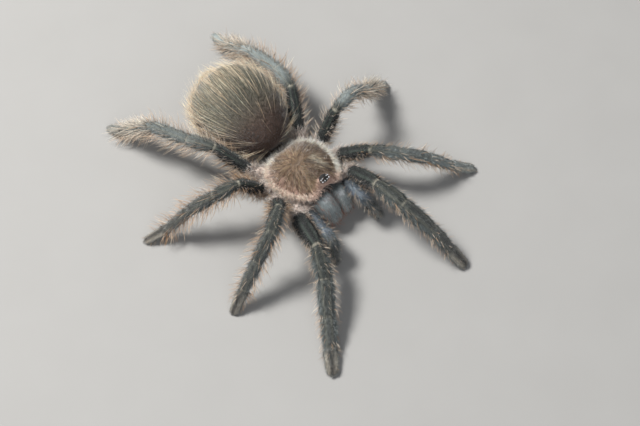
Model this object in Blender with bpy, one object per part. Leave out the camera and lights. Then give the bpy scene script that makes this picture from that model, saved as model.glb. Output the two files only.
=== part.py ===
"""A tarantula standing still, as a life-size museum model: the solids, in metres, +Z up, facing -Y.

The animal is parted where an anatomist would name its pieces. The body is made of its shield (carapace),
the underside with the hip joints (coxae), the waist (pedicel), abdomen, spinnerets, jaws (chelicerae), fangs
and eye tubercle. Two feelers (palps) and eight legs are each one bent tube, parted by thin cuts at the
joints. The left side is +X.
"""

import math

import bmesh
import bpy
from mathutils import Matrix, Vector

MM = 0.001
GAP = 0.3 * MM  # the thin cut between two neighbouring solids
HALF_GAP = GAP / 2

# The body's own origin lies between the second hips. It is set down so that the middle of the whole stance,
# out to the feet, is over the model's origin.
BODY_PLACE = (0.78 * MM, -3.81 * MM, 0.0)

# The forepart (prosoma) is held nose-up, and turned a little to its left, about the middle of its base.
POISE = math.radians(9)
GLANCE = math.radians(3)
SHIELD_BASE_Z = 9.2 * MM

# The shield, seen from above: an oval, blunt at the front and narrower at the back, with a flat underside.
SHIELD_FRONT_Y = -8.9 * MM
SHIELD_BACK_Y = 8.3 * MM
SHIELD_WIDE_Y = 0.6 * MM
SHIELD_WIDTH = 15.6 * MM
FRONT_BLUNT = 3.0
BACK_BLUNT = 2.5
FRONT_TAPER = 0.28  # how much narrower it is at the front, and how late along its length that sets in
FRONT_TAPER_RUN = 1.4
SHIELD_RIM = 0.9 * MM
RIM_EDGE = 0.6  # the height of the sharpest edge, as a share of the rim
RIM_TUCK = 0.95  # the outline of the flat base, as a share of the edge's
RIM_BLEND = 16  # the power by which the head and fovea fade out just inside the rim
SHIELD_DOME = 2.7 * MM
DOME_FLATNESS = 2.6
DOME_SHOULDER = 0.75
HEAD_RISE = 2.1 * MM
HEAD_HALF_WIDTH = 3.47 * MM
HEAD_RUN = 7.0 * MM
FOVEA_Y = 1.7 * MM
FOVEA_DEPTH = 0.9 * MM
FOVEA_HALF_WIDTH = 1.7 * MM
FOVEA_HALF_LENGTH = 0.9 * MM
SHIELD_SECTORS = 28
SHIELD_RINGS = 7
OUTER_RING = 0.7  # how far above the rim the first ring lies, in rings

# The underside: the plate (sternum) and soft flanks under the shield, joined with the hip joints.
FLANK_SHARE = 0.76
FLANK_DROP = 0.55  # how far down the flanks are upright, as a share of their depth
STERNUM_SHARE = 0.50
STERNUM_Z = 4.6 * MM
HIP_RADIUS = 1.65 * MM
HIP_Z = 7.1 * MM
HIP_DIP = 1.5 * MM  # how far a coxa rises from its root to the hip
HIP_SLOPE = -0.07  # how fast the hips sink towards the back
HIP_NECK = 0.7  # where a coxa starts to narrow to its leg, from the hip, as a share of its radius
HIP_ROOT_GIRTH = 0.8
HIP_END_GIRTH = 0.88

# The abdomen: an egg whose blunt end is at the back.
ABDOMEN_LENGTH = 26.2 * MM
ABDOMEN_WIDTH = 23.0 * MM
ABDOMEN_HEIGHT = 18.8 * MM
ABDOMEN_FRONT_Y = 9.8 * MM
ABDOMEN_CENTRE_Z = 10.9 * MM
ABDOMEN_EGG = 0.12  # how far the widest girth lies behind the middle
ABDOMEN_BELLY = 0.9  # the belly's depth, as a share of the back's
ABDOMEN_SECTORS = 24
ABDOMEN_RINGS = 12
ABDOMEN_POINT = 0.92

TUBE_SIDES = 12
SQUARE_END = 0.75  # how far from a square cut the next ring lies, as a share of the radius
CUT_MARGIN = 1.15  # how far past the end of a slanted cut the next ring lies, as a share of its slant
TIP_GIRTH = 0.55  # the last ring of a blunt tip: its girth, and how far out it lies in segment lengths
TIP_REACH = 0.06
SOLE_DEPTH = 0.2 * MM  # how much of the underside of a foot the floor cuts flat

# For each pair of legs, in millimetres: the hip (out, back), the root of its coxa by the sternum, and the
# lengths and the radius of its segments.
HIPS = {1: (8.9, -7.1), 2: (10.1, -1.3), 3: (9.8, 4.4), 4: (8.0, 10.2)}
HIP_ROOTS = {1: (2.4, -2.6), 2: (3.0, -0.8), 3: (3.0, 1.6), 4: (2.4, 3.6)}
LENGTHS = {
    1: (12.1, 8.2, 9.0, 7.2, 6.4),
    2: (10.6, 7.0, 8.1, 7.8, 6.8),
    3: (10.9, 6.3, 7.5, 8.5, 6.6),
    4: (11.8, 7.3, 10.2, 11.8, 6.0),
}
RADII = {1: 2.1, 2: 1.75, 3: 1.6, 4: 1.6}

# Each segment's half width and half height as shares of the leg's radius, how far its ends are pinched in,
# and how much it widens from one end to the other.
SHAPES = {
    "femur": (0.98, 1.1, 0.24, -0.04),
    "patella": (1.0, 1.02, 0.20, 0.10),
    "tibia": (0.96, 0.95, 0.14, -0.04),
    "metatarsus": (0.86, 0.82, 0.12, -0.08),
    "tarsus": (0.78, 0.66, 0.10, -0.20),
}

# How each leg stands, in degrees: its heading (0 straight out, 90 straight forward), the turn at the knee,
# and the slope of each segment past the femur. The femur is lifted just enough to set the foot on the floor.
STANCE = {
    ("left", 1): (93, -18.5, -4, -30, -42, -42),
    ("left", 2): (58, -22.5, -8, -27, -40, -28),
    ("left", 3): (-1.5, -11, 4, -47, -48.5, -43),
    ("left", 4): (-59.5, -31, -12, -15.5, -37, -17),
    ("right", 1): (71.5, -20, -22, -21.5, -26, -10),
    ("right", 2): (52.5, -40.5, 2, -43, -42.5, -47.5),
    ("right", 3): (-13.5, -13, -17, -29.5, -47, -29),
    ("right", 4): (-59, -11.5, -7, -6.5, -45.5, -26),
}
TURN_SHARES = (0, 0.5, 1, 1, 1)  # how much of the knee's turn each segment has made

# The feelers, which have no metatarsus and a slim femur.
PALP_SHAPES = {
    "femur": (0.78, 0.86, 0.20, 0.06),
    "patella": (0.94, 0.96, 0.20, 0.04),
    "tibia": (1.0, 0.96, 0.14, 0.0),
    "tarsus": (0.88, 0.8, 0.10, -0.14),
}
PALP_HIP = (5.9, -7.7)
PALP_ROOT = (3.1, -2.8)
PALP_LENGTHS = (6.7, 3.9, 4.6, 4.0)
PALP_RADIUS = 1.42 * MM
PALP_HIP_RADIUS = 1.15 * MM
PALP_STANCE = {"left": (98, -63, -42, -69, -69), "right": (81, -6, 11, -69, -88)}

# The jaws: their base segments (chelicerae) leave the front and bend down to the fangs.
JAW_X = 2.3 * MM
JAW_START = (-8.0 * MM, 7.75 * MM)
JAW_LENGTH = 6.6 * MM
JAW_START_SLOPE = math.radians(-24)
JAW_BEND = math.radians(-68)
JAW_HALF_WIDTH = 2.15 * MM
JAW_HALF_DEPTH = 3.05 * MM
JAW_ROOT_GIRTH = 0.86
JAW_FULL_RUN = 1.4  # sets how soon past its middle the girth has swollen and sunk again
JAW_TAPER = 0.28
JAW_RINGS = 7
FANG_LENGTH = 4.6 * MM
FANG_RADIUS = 0.62 * MM
FANG_TAPER = 0.62
FANG_START_SLOPE = math.radians(-142)
FANG_BEND = math.radians(-88)
FANG_RINGS = 7
FANG_SIDES = 8

# The waist and the spinnerets.
WAIST_RADIUS = 1.5 * MM
WAIST_Z = 5.9 * MM
WAIST_LENGTH = 5 * MM
WAIST_GIRTHS = (1.0, 0.85, 1.0)
SPINNERET_LENGTH = 5.8 * MM  # with the part that the abdomen cuts away
SPINNERET_RADIUS = 0.85 * MM
SPINNERET_X = 1.5 * MM
SPINNERET_Z = 5.0 * MM
SPINNERET_ROOT = 3.5 * MM  # how far in front of the abdomen's end it starts
SPINNERET_WAY = (0.25, 1.0, 0.05)
SPINNERET_GIRTHS = (1.0, 1.0, 0.95, 0.85, 0.5)

# The mound that carries the eyes, and each eye: out, forward and its radius.
MOUND_Y = -7.4 * MM
MOUND_HALF_WIDTH = 1.35 * MM
MOUND_HALF_LENGTH = 1.0 * MM
MOUND_HEIGHT = 0.8 * MM
MOUND_SEAT_RISE = 0.25 * MM  # how far the head bulges above the mound's flat seat
MOUND_PROFILE = ((1.0, 0.0), (0.97, 0.45), (0.8, 0.82), (0.45, 1.0))  # girth and height of each ring
MOUND_FALL = 0.35  # how far the outer eyes sit below the top, as a share of the mound's height
EYES = {
    "front_inner": (0.36, 0.42, 0.27),
    "front_outer": (0.98, 0.36, 0.27),
    "rear_inner": (0.62, -0.34, 0.19),
    "rear_outer": (1.06, -0.26, 0.24),
}

SIDES = {"left": 1, "right": -1}

COLOURS = {
    "leg": ((0.075, 0.095, 0.10), 0.75),
    "shield": ((0.30, 0.21, 0.13), 0.7),
    "belly": ((0.10, 0.075, 0.06), 0.8),
    "abdomen": ((0.13, 0.10, 0.08), 0.85),
    "jaw": ((0.14, 0.17, 0.19), 0.7),
    "fang": ((0.015, 0.012, 0.012), 0.2),
    "eye": ((0.01, 0.01, 0.01), 0.1),
}


def clear_scene():
    """Removes whatever the scene holds, so that the file runs from any start."""
    for thing in list(bpy.data.objects):
        bpy.data.objects.remove(thing, do_unlink=True)


def finish_of(slot):
    """The Principled material of one finish, made on first use."""
    name = f"{slot}_coat"
    found = bpy.data.materials.get(name)
    if found:
        return found
    colour, roughness = COLOURS[slot]
    made = bpy.data.materials.new(name)
    made.use_nodes = True
    shader = made.node_tree.nodes["Principled BSDF"]
    shader.inputs["Base Color"].default_value = (*colour, 1.0)
    shader.inputs["Roughness"].default_value = roughness
    shader.inputs["Metallic"].default_value = 0.0
    return made


def add_object(name, mesh_maker, slot, parent, place=None, helper=False):
    """Makes the bmesh that mesh_maker fills into a named object at place, and hides it if it is a helper."""
    work = bmesh.new()
    mesh_maker(work)
    bmesh.ops.recalc_face_normals(work, faces=work.faces)
    mesh = bpy.data.meshes.new(name)
    work.to_mesh(mesh)
    work.free()
    mesh.materials.append(finish_of(slot))
    mesh.shade_smooth()
    mesh.set_sharp_from_angle(angle=math.radians(50))
    made = bpy.data.objects.new(name, mesh)
    bpy.context.scene.collection.objects.link(made)
    made.parent = parent
    if place is not None:
        made.matrix_local = place
    if helper:
        made.hide_render = True
        made.display_type = "WIRE"
    return made


def combine(target, helper, operation):
    """Joins or cuts target with a hidden helper by a Boolean modifier."""
    modifier = target.modifiers.new(f"{operation.lower()}_{helper.name}", "BOOLEAN")
    modifier.operation = operation
    modifier.object = helper
    modifier.solver = "EXACT"


def loft(work, rings, poles=(None, None)):
    """Skins a row of closed rings, each a list of points. An end is closed by a fan to its pole, or by a
    flat face where it has none."""
    rows = [[work.verts.new(point) for point in ring] for ring in rings]
    for row, after in zip(rows, rows[1:]):
        for k in range(len(row)):
            follow = (k + 1) % len(row)
            work.faces.new((row[k], row[follow], after[follow], after[k]))
    for row, pole in ((rows[0][::-1], poles[0]), (rows[-1], poles[1])):
        if pole is None:
            work.faces.new(row)
            continue
        point = work.verts.new(pole)
        for k in range(len(row)):
            work.faces.new((row[k], row[(k + 1) % len(row)], point))


def direction(side, heading, slope):
    """The unit vector of a limb segment, and the vector to its back (upper) side in the limb's own plane."""
    turn, lift = math.radians(heading), math.radians(slope)
    out = Vector((side * math.cos(turn), -math.sin(turn), 0.0))
    along = out * math.cos(lift) + Vector((0, 0, math.sin(lift)))
    back = Vector((0, 0, math.cos(lift))) - out * math.sin(lift)
    return along, back


def local_frame(joint, along, back):
    """The matrix whose Z runs along a segment and whose Y is its upper side."""
    across = back.cross(along)
    rotation = Matrix((across, back, along)).transposed().to_4x4()
    return Matrix.Translation(joint) @ rotation


def swell(share, pinch, widen):
    """A segment's girth at a share of its length: pinched in at both ends, and a little wider at one."""
    return (1 - pinch * (2 * share - 1) ** 4) * (1 + widen * (2 * share - 1))


def cut_reach(normal, radius):
    """How far a slanted cut runs along a segment of this radius, at least a share of it for a square cut."""
    if normal is None:
        return radius * SQUARE_END
    return radius * max(SQUARE_END, CUT_MARGIN * math.hypot(normal.x, normal.y) / normal.z)


def segment_rings(length, half_width, half_height, pinch, widen, cut_in, cut_out):
    """Rings of a segment in its own frame. cut_in and cut_out are the normals of the planes that part it
    from its neighbours, or None at a free end. A ring at a cut lies half a gap inside its plane."""
    rings = []
    near = cut_reach(cut_in, half_height) / length
    far = 1 - cut_reach(cut_out, half_height) / length
    for share in (0, near, (near + far) / 2, far, 1):
        girth = swell(share, pinch, widen)
        normal, height, offset = None, share * length, 0.0
        if share == 0 and cut_in is not None:
            normal, offset = cut_in, HALF_GAP
        if share == 1 and cut_out is not None:
            normal, offset = cut_out, -HALF_GAP
        ring = []
        for k in range(TUBE_SIDES):
            angle = math.tau * (k + 0.5) / TUBE_SIDES
            x = half_width * girth * math.cos(angle)
            y = half_height * girth * math.sin(angle)
            z = height
            if normal is not None:
                z += (offset - normal.x * x - normal.y * y) / normal.z
            ring.append(Vector((x, y, z)))
        rings.append(ring)
    return rings


def round_tip(rings, length):
    """Adds a small last ring, so that a free end is blunt and round."""
    last = rings[-1]
    middle = sum(last, Vector()) / len(last)
    out = Vector((0, 0, TIP_REACH * length))
    rings.append([middle + (point - middle) * TIP_GIRTH + out for point in last])
    return rings


def hip_point(side, place):
    """A hip's place in the body's frame, lower towards the back."""
    out, back = place[0] * MM, place[1] * MM
    return Vector((side * out, back, HIP_Z + HIP_SLOPE * back))


def foot_height(radius, length, slope):
    """The height of the middle of a foot's end over the floor, which cuts its lowest side flat."""
    heel = radius * math.cos(slope)
    toe = TIP_GIRTH * radius * math.cos(slope) - TIP_REACH * length * math.sin(slope)
    return max(heel, toe) - SOLE_DEPTH


def end_radius(shape, radius):
    """The half height of the free end of a segment of this shape."""
    _, height, pinch, widen = shape
    return radius * height * swell(1, pinch, widen)


class Limb:
    """A leg or a palp: its joints in the body's frame, and the directions of its coxa and each segment."""

    def __init__(self, side, hip, root, lengths, stance, foot_radius):
        heading, turn, *slopes = stance
        self.lengths = [value * MM for value in lengths]
        self.root, start = hip_point(side, root), hip_point(side, hip)
        self.root.z = start.z - HIP_DIP
        self.hip_way = (start - self.root).normalized()
        drop = sum(l * math.sin(math.radians(s)) for l, s in zip(self.lengths[1:], slopes))
        foot_z = foot_height(foot_radius, self.lengths[-1], math.radians(slopes[-1]))
        lift = math.degrees(math.asin((foot_z - start.z - drop) / self.lengths[0]))
        headings = [heading + turn * share for share in TURN_SHARES]
        self.ways = [direction(side, h, s) for h, s in zip(headings, [lift, *slopes])]
        self.joints = [start]
        for length, (along, _) in zip(self.lengths, self.ways):
            self.joints.append(self.joints[-1] + along * length)

    def cut_normal(self, index):
        """The normal of the plane that parts a segment from the one before it, or from the coxa."""
        before = self.ways[index - 1][0] if index else self.hip_way
        return (before + self.ways[index][0]).normalized()


def build_limb(prefix, limb, shapes, radius, parent):
    """Makes the nodes of one limb, from the femur to the foot."""
    last = len(shapes) - 1
    for index, (segment, shape) in enumerate(shapes.items()):
        along, back = limb.ways[index]
        frame = local_frame(limb.joints[index], along, back)
        turn_in = frame.to_3x3().transposed()
        cut_in = turn_in @ limb.cut_normal(index)
        cut_out = None if index == last else turn_in @ limb.cut_normal(index + 1)
        width, height, pinch, widen = shape
        rings = segment_rings(
            limb.lengths[index], radius * width, radius * height, pinch, widen, cut_in, cut_out
        )
        if index == last:
            round_tip(rings, limb.lengths[index])
        made = add_object(f"{prefix}_{segment}", lambda work: loft(work, rings), "leg", parent, frame)
        if index == last:
            flatten_sole(made, frame)


def flatten_sole(foot, frame):
    """Cuts a foot level with the floor, which leaves its small flat sole."""
    into_foot = frame.inverted()
    normal = frame.to_3x3().transposed() @ Vector((0, 0, 1))
    work = bmesh.new()
    work.from_mesh(foot.data)
    cut = bmesh.ops.bisect_plane(
        work, geom=work.verts[:] + work.edges[:] + work.faces[:], dist=1e-7,
        plane_co=into_foot @ Vector((0, 0, 0)), plane_no=normal, clear_inner=True,
    )
    rim = [item for item in cut["geom_cut"] if isinstance(item, bmesh.types.BMEdge)]
    bmesh.ops.edgenet_fill(work, edges=rim)
    bmesh.ops.recalc_face_normals(work, faces=work.faces)
    work.to_mesh(foot.data)
    work.free()


def poise_matrix():
    """The turn that holds the forepart nose-up and a little to its left."""
    pivot = Vector((0, 0, SHIELD_BASE_Z))
    turn = Matrix.Rotation(GLANCE, 4, "Z") @ Matrix.Rotation(-POISE, 4, "X")
    return Matrix.Translation(pivot) @ turn @ Matrix.Translation(-pivot)


def shield_outline(angle):
    """A point of the shield's edge, where angle 0 is at its left and a quarter turn at its back."""
    across, run = math.cos(angle), math.sin(angle)
    blunt = BACK_BLUNT if run > 0 else FRONT_BLUNT
    x = math.copysign(abs(across) ** (2 / blunt), across)
    y = math.copysign(abs(run) ** (2 / blunt), run)
    reach = SHIELD_BACK_Y - SHIELD_WIDE_Y if run > 0 else SHIELD_WIDE_Y - SHIELD_FRONT_Y
    half_width = SHIELD_WIDTH / 2 * (1 - FRONT_TAPER * max(0.0, -y) ** FRONT_TAPER_RUN)
    return Vector((half_width * x, reach * y, 0.0))


def shield_relief(x, y):
    """What the raised head adds to the dome at a point, less the fovea's dimple."""
    front = min(1.0, max(0.0, (FOVEA_Y - y) / HEAD_RUN))
    head = HEAD_RISE * front * math.exp(-((x / HEAD_HALF_WIDTH) ** 2))
    across, along = x / FOVEA_HALF_WIDTH, (y - FOVEA_Y) / FOVEA_HALF_LENGTH
    return head - FOVEA_DEPTH * math.exp(-(across**2) - along**2)


def shield_height(place, share):
    """The height of the shield over its base at a point that lies at a share of the way out to the edge."""
    dome = SHIELD_DOME * (1 - share**DOME_FLATNESS) ** DOME_SHOULDER
    return SHIELD_RIM + dome + shield_relief(place.x, place.y) * (1 - share**RIM_BLEND)


def shield_ring(share, z_of):
    """A ring of the shield at a share of its outline, with its heights over the base from z_of."""
    ring = []
    for k in range(SHIELD_SECTORS):
        place = Vector((0, SHIELD_WIDE_Y, 0)) + shield_outline(math.tau * k / SHIELD_SECTORS) * share
        ring.append(Vector((place.x, place.y, SHIELD_BASE_Z + z_of(place))))
    return ring


def shield_mesh(work):
    """The shield: rings from the flat underside over the rim and up the dome to its crown."""
    rings = [shield_ring(RIM_TUCK, lambda place: 0.0), shield_ring(1.0, lambda place: SHIELD_RIM * RIM_EDGE)]
    for k in range(SHIELD_RINGS):
        share = math.cos(math.pi / 2 * (k + OUTER_RING) / SHIELD_RINGS)
        rings.append(shield_ring(share, lambda place, share=share: shield_height(place, share)))
    crown = Vector((0, SHIELD_WIDE_Y, 0))
    loft(work, rings, (None, crown + Vector((0, 0, SHIELD_BASE_Z + shield_height(crown, 0.0)))))


def flank_mesh(work):
    """The block under the shield: its flat top, the flanks, and the sternum below."""
    depth = SHIELD_BASE_Z - STERNUM_Z
    rings = []
    for share, drop in ((FLANK_SHARE, GAP), (FLANK_SHARE, depth * FLANK_DROP), (STERNUM_SHARE, depth)):
        rings.append(shield_ring(share, lambda place, drop=drop: -drop))
    loft(work, rings)


def coxa_mesh(limb, radius):
    """Fills a bmesh with the hip joint (coxa) of a limb, from its root to the cut before the leg."""
    across = Vector((0, 0, 1)).cross(limb.hip_way)
    run = (limb.joints[0] - limb.root).length
    normal = limb.cut_normal(0)
    middle = limb.joints[0] - normal * HALF_GAP
    slant = math.tan(normal.angle(limb.hip_way))
    neck = 1 - radius * max(HIP_NECK, CUT_MARGIN * slant) / run

    def fill(work):
        rings = []
        for share, girth in ((0, HIP_ROOT_GIRTH), (neck / 2, 1.0), (neck, 1.0), (1, HIP_END_GIRTH)):
            ring = []
            for k in range(TUBE_SIDES):
                angle = math.tau * (k + 0.5) / TUBE_SIDES
                offset = across * math.cos(angle) + Vector((0, 0, 1)) * math.sin(angle)
                point = limb.root + limb.hip_way * run * share + offset * radius * girth
                if share == 1:
                    point += limb.hip_way * (normal.dot(middle - point) / normal.dot(limb.hip_way))
                ring.append(point)
            rings.append(ring)
        loft(work, rings)

    return fill


def abdomen_mesh(work, grow=0.0):
    """The abdomen: rings across its length, larger towards the back. Grow adds to it on every side."""
    half = ABDOMEN_LENGTH / 2
    middle = ABDOMEN_FRONT_Y + half
    rings = []
    for k in range(1, ABDOMEN_RINGS):
        turn = math.pi * k / ABDOMEN_RINGS
        girth = math.sin(turn) ** ABDOMEN_POINT * (1 - ABDOMEN_EGG * math.cos(turn))
        y = middle - (half + grow) * math.cos(turn)
        ring = []
        for s in range(ABDOMEN_SECTORS):
            angle = math.tau * s / ABDOMEN_SECTORS
            x = (ABDOMEN_WIDTH / 2 * girth + grow) * math.cos(angle)
            z = (ABDOMEN_HEIGHT / 2 * girth + grow) * math.sin(angle)
            ring.append(Vector((x, y, ABDOMEN_CENTRE_Z + (z if z > 0 else z * ABDOMEN_BELLY))))
        rings.append(ring)
    tips = [Vector((0, middle + reach, ABDOMEN_CENTRE_Z)) for reach in (-half - grow, half + grow)]
    loft(work, rings, tips)


def path_rings(start, length, slope, bend, count, sides, girth_of):
    """Rings along an arc in an upright plane that starts with a slope and bends steadily down (or back).
    girth_of gives the half width and half depth at a share of the arc."""
    rings = []
    point = Vector(start)
    for k in range(count):
        share = k / (count - 1)
        turn = slope + bend * share
        along = Vector((0, -math.cos(turn), math.sin(turn)))
        back = Vector((0, math.sin(turn), math.cos(turn)))
        half_width, half_depth = girth_of(share)
        ring = []
        for s in range(sides):
            angle = math.tau * (s + 0.5) / sides
            offset = Vector((half_width * math.cos(angle), 0, 0)) + back * half_depth * math.sin(angle)
            ring.append(point + offset)
        rings.append(ring)
        point = point + along * length / (count - 1)
    return rings


def jaw_girth(share):
    """The half width and half depth of a chelicera at a share of its length."""
    swelling = JAW_ROOT_GIRTH + (1 - JAW_ROOT_GIRTH) * math.sin(math.pi * min(1.0, share * JAW_FULL_RUN))
    taper = 1 - JAW_TAPER * share**4
    return JAW_HALF_WIDTH * swelling * taper, JAW_HALF_DEPTH * swelling * taper


def fang_girth(share):
    """The half width and half depth of a fang at a share of its length."""
    radius = FANG_RADIUS * (1 - FANG_TAPER * share)
    return radius, radius


def build_jaw(name, side, parent):
    """Makes one chelicera and its fang, which turn with the head but hang at their own slope."""
    glance = Matrix.Rotation(GLANCE, 4, "Z")
    start = Vector((side * JAW_X, *JAW_START))
    rings = path_rings(
        start, JAW_LENGTH, JAW_START_SLOPE, JAW_BEND, JAW_RINGS, TUBE_SIDES, jaw_girth
    )
    add_object(f"chelicera_{name}", lambda work: loft(work, rings), "jaw", parent, glance)
    tip = sum(rings[-1], Vector()) / TUBE_SIDES
    end_slope = JAW_START_SLOPE + JAW_BEND
    room = GAP + FANG_RADIUS * math.sin(end_slope - FANG_START_SLOPE)
    fang_start = tip + Vector((0, -math.cos(end_slope), math.sin(end_slope))) * room
    fang = path_rings(
        fang_start, FANG_LENGTH, FANG_START_SLOPE, FANG_BEND, FANG_RINGS, FANG_SIDES, fang_girth
    )
    add_object(f"fang_{name}", lambda work: loft(work, fang), "fang", parent, glance)


def tube_mesh(start, end, radii):
    """Fills a bmesh with a straight tube through evenly spaced rings of the given radii."""
    along = (end - start).normalized()
    across = along.orthogonal().normalized()
    back = along.cross(across)

    def fill(work):
        rings = []
        for k, radius in enumerate(radii):
            centre = start.lerp(end, k / (len(radii) - 1))
            ring = []
            for s in range(TUBE_SIDES):
                angle = math.tau * (s + 0.5) / TUBE_SIDES
                ring.append(centre + (across * math.cos(angle) + back * math.sin(angle)) * radius)
            rings.append(ring)
        loft(work, rings)

    return fill


def build_eyes(parent):
    """Makes the mound with its eight eyes, seated on the slope of the head."""
    reach = SHIELD_WIDE_Y - SHIELD_FRONT_Y
    heights = []
    for y in (MOUND_Y + MOUND_HALF_LENGTH, MOUND_Y - MOUND_HALF_LENGTH):
        heights.append(shield_height(Vector((0, y, 0)), (SHIELD_WIDE_Y - y) / reach))
    slope = math.atan2(heights[0] - heights[1], 2 * MOUND_HALF_LENGTH)
    seat = SHIELD_BASE_Z + sum(heights) / 2 + MOUND_SEAT_RISE + GAP
    place = poise_matrix() @ Matrix.Translation((0, MOUND_Y, seat)) @ Matrix.Rotation(slope, 4, "X")

    def mound(work):
        rings = []
        for share, height in MOUND_PROFILE:
            ring = []
            for s in range(TUBE_SIDES):
                angle = math.tau * (s + 0.5) / TUBE_SIDES
                x = MOUND_HALF_WIDTH * share * math.cos(angle)
                y = MOUND_HALF_LENGTH * share * math.sin(angle)
                ring.append(Vector((x, y, MOUND_HEIGHT * height)))
            rings.append(ring)
        loft(work, rings)

    made = add_object("eye_tubercle", mound, "eye", parent, place)
    for name, (out, forward, radius) in EYES.items():
        for side_name, side in SIDES.items():
            x, y, size = side * out * MM, -forward * MM, radius * MM
            slope = (x / MOUND_HALF_WIDTH) ** 2 + (y / MOUND_HALF_LENGTH) ** 2
            centre = Matrix.Translation((x, y, MOUND_HEIGHT * (1 - MOUND_FALL * slope)))

            def lens(work, size=size, centre=centre):
                bmesh.ops.create_icosphere(work, subdivisions=1, radius=size, matrix=centre)

            helper = add_object(f"lens_{name}_{side_name}", lens, "eye", made, helper=True)
            combine(made, helper, "UNION")


def main():
    """Builds the whole animal."""
    clear_scene()
    body = bpy.data.objects.new("tarantula", None)
    body.location = BODY_PLACE
    bpy.context.scene.collection.objects.link(body)
    poise = poise_matrix()
    add_object("carapace", shield_mesh, "shield", body, poise)
    add_object("abdomen", abdomen_mesh, "abdomen", body)
    build_eyes(body)
    underside = add_object("underside", flank_mesh, "belly", body, poise)
    for (side, pair), stance in STANCE.items():
        radius = RADII[pair] * MM
        foot = end_radius(SHAPES["tarsus"], radius)
        limb = Limb(SIDES[side], HIPS[pair], HIP_ROOTS[pair], LENGTHS[pair], stance, foot)
        name = f"leg_{side}_{pair}"
        build_limb(name, limb, SHAPES, radius, body)
        coxa = add_object(f"{name}_coxa", coxa_mesh(limb, HIP_RADIUS), "belly", body, helper=True)
        combine(underside, coxa, "UNION")
    for side, stance in PALP_STANCE.items():
        foot = end_radius(PALP_SHAPES["tarsus"], PALP_RADIUS)
        limb = Limb(SIDES[side], PALP_HIP, PALP_ROOT, PALP_LENGTHS, stance, foot)
        name = f"palp_{side}"
        build_limb(name, limb, PALP_SHAPES, PALP_RADIUS, body)
        coxa = add_object(f"{name}_coxa", coxa_mesh(limb, PALP_HIP_RADIUS), "belly", body, helper=True)
        combine(underside, coxa, "UNION")
    for name, side in SIDES.items():
        build_jaw(name, side, body)
    hollow = add_object("abdomen_room", lambda work: abdomen_mesh(work, GAP), "abdomen", body, helper=True)
    rear = Vector((0, SHIELD_WIDE_Y + FLANK_SHARE * (SHIELD_BACK_Y - SHIELD_WIDE_Y) + 3 * GAP, WAIST_Z))
    waist_end = rear + Vector((0, WAIST_LENGTH, 0))
    waist_girths = [WAIST_RADIUS * share for share in WAIST_GIRTHS]
    waist = add_object("pedicel", tube_mesh(rear, waist_end, waist_girths), "belly", body)
    combine(waist, hollow, "DIFFERENCE")
    for name, side in SIDES.items():
        out, back, up = SPINNERET_WAY
        root_y = ABDOMEN_FRONT_Y + ABDOMEN_LENGTH - SPINNERET_ROOT
        root = Vector((side * SPINNERET_X, root_y, SPINNERET_Z))
        tip = root + Vector((side * out, back, up)).normalized() * SPINNERET_LENGTH
        girths = [SPINNERET_RADIUS * share for share in SPINNERET_GIRTHS]
        spinneret = add_object(f"spinneret_{name}", tube_mesh(root, tip, girths), "leg", body)
        combine(spinneret, hollow, "DIFFERENCE")


main()
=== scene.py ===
"""A life-size tarantula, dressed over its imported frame, and the studio round it.

Lengths are in metres. The animal faces -Y, its left side is at +X, and it stands on z = 0. Places come from
the frame's nodes, and the sizes below are the animal's own. The skin is one mesh of closed shells, each
worked out on a grid, and the coat is solid hairs that are rooted on those shells.
"""

import logging
import math
from dataclasses import dataclass, field
from enum import Enum

import bpy
import numpy as np
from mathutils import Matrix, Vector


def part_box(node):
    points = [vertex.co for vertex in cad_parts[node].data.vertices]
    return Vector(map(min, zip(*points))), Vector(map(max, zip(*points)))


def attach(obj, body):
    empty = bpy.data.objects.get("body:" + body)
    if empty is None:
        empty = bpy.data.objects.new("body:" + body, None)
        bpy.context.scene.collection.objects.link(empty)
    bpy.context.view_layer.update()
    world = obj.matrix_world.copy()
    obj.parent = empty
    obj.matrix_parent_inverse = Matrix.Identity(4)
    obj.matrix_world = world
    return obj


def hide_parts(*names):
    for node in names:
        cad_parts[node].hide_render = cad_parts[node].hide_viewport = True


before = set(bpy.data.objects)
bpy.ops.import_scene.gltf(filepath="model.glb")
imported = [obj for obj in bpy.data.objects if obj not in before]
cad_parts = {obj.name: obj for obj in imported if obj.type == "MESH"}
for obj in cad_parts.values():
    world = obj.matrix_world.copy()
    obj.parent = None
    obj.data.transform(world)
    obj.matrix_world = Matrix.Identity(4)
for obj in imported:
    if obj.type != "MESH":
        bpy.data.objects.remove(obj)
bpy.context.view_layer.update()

Array = np.ndarray
Reals = np.ndarray | float
Pair = tuple[float, float]
Socket = bpy.types.NodeSocket

LOG = logging.getLogger("tarantula")
MM = 0.001
UP = np.array([0.0, 0.0, 1.0])
BODY = "root"
RING = 12  # the corners of one ring of a tube in the frame
SEGMENT_RINGS = 5  # the rings of one segment of a limb in the frame
FOOT_RINGS = 3  # the rings of a foot before it narrows to its sole
FLOOR_CLEARANCE = 0.05 * MM
ATLAS_MAP = "OFBake"
PATCH = 0.003  # the size of one hair's patch on the atlas
POLE_STEP = 0.01  # how far past a shell's cell its poles lie on the atlas, as a share of the cell


# ------------------------------
# Numbers


def unit(vectors: Array) -> Array:
    """The vectors of an array, each scaled to length one."""
    return vectors / np.maximum(np.linalg.norm(vectors, axis=-1, keepdims=True), 1e-12)


def mix(low: Reals, high: Reals, share: Reals) -> Array:
    """Runs from low at share 0 to high at share 1, and stops there on both sides."""
    clipped = np.clip(share, 0, 1)
    return low + (high - low) * clipped


def blend(low: Array, high: Array, share: Array) -> Array:
    """Mixes colours by one share for each of them."""
    return mix(low, high, np.asarray(share)[..., None])


def bump(value: Array, centre: float, reach: float) -> Array:
    """A smooth hump that is 1 at the centre and has sunk to a third one reach away from it."""
    return np.exp(-(((value - centre) / reach) ** 2))


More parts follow.
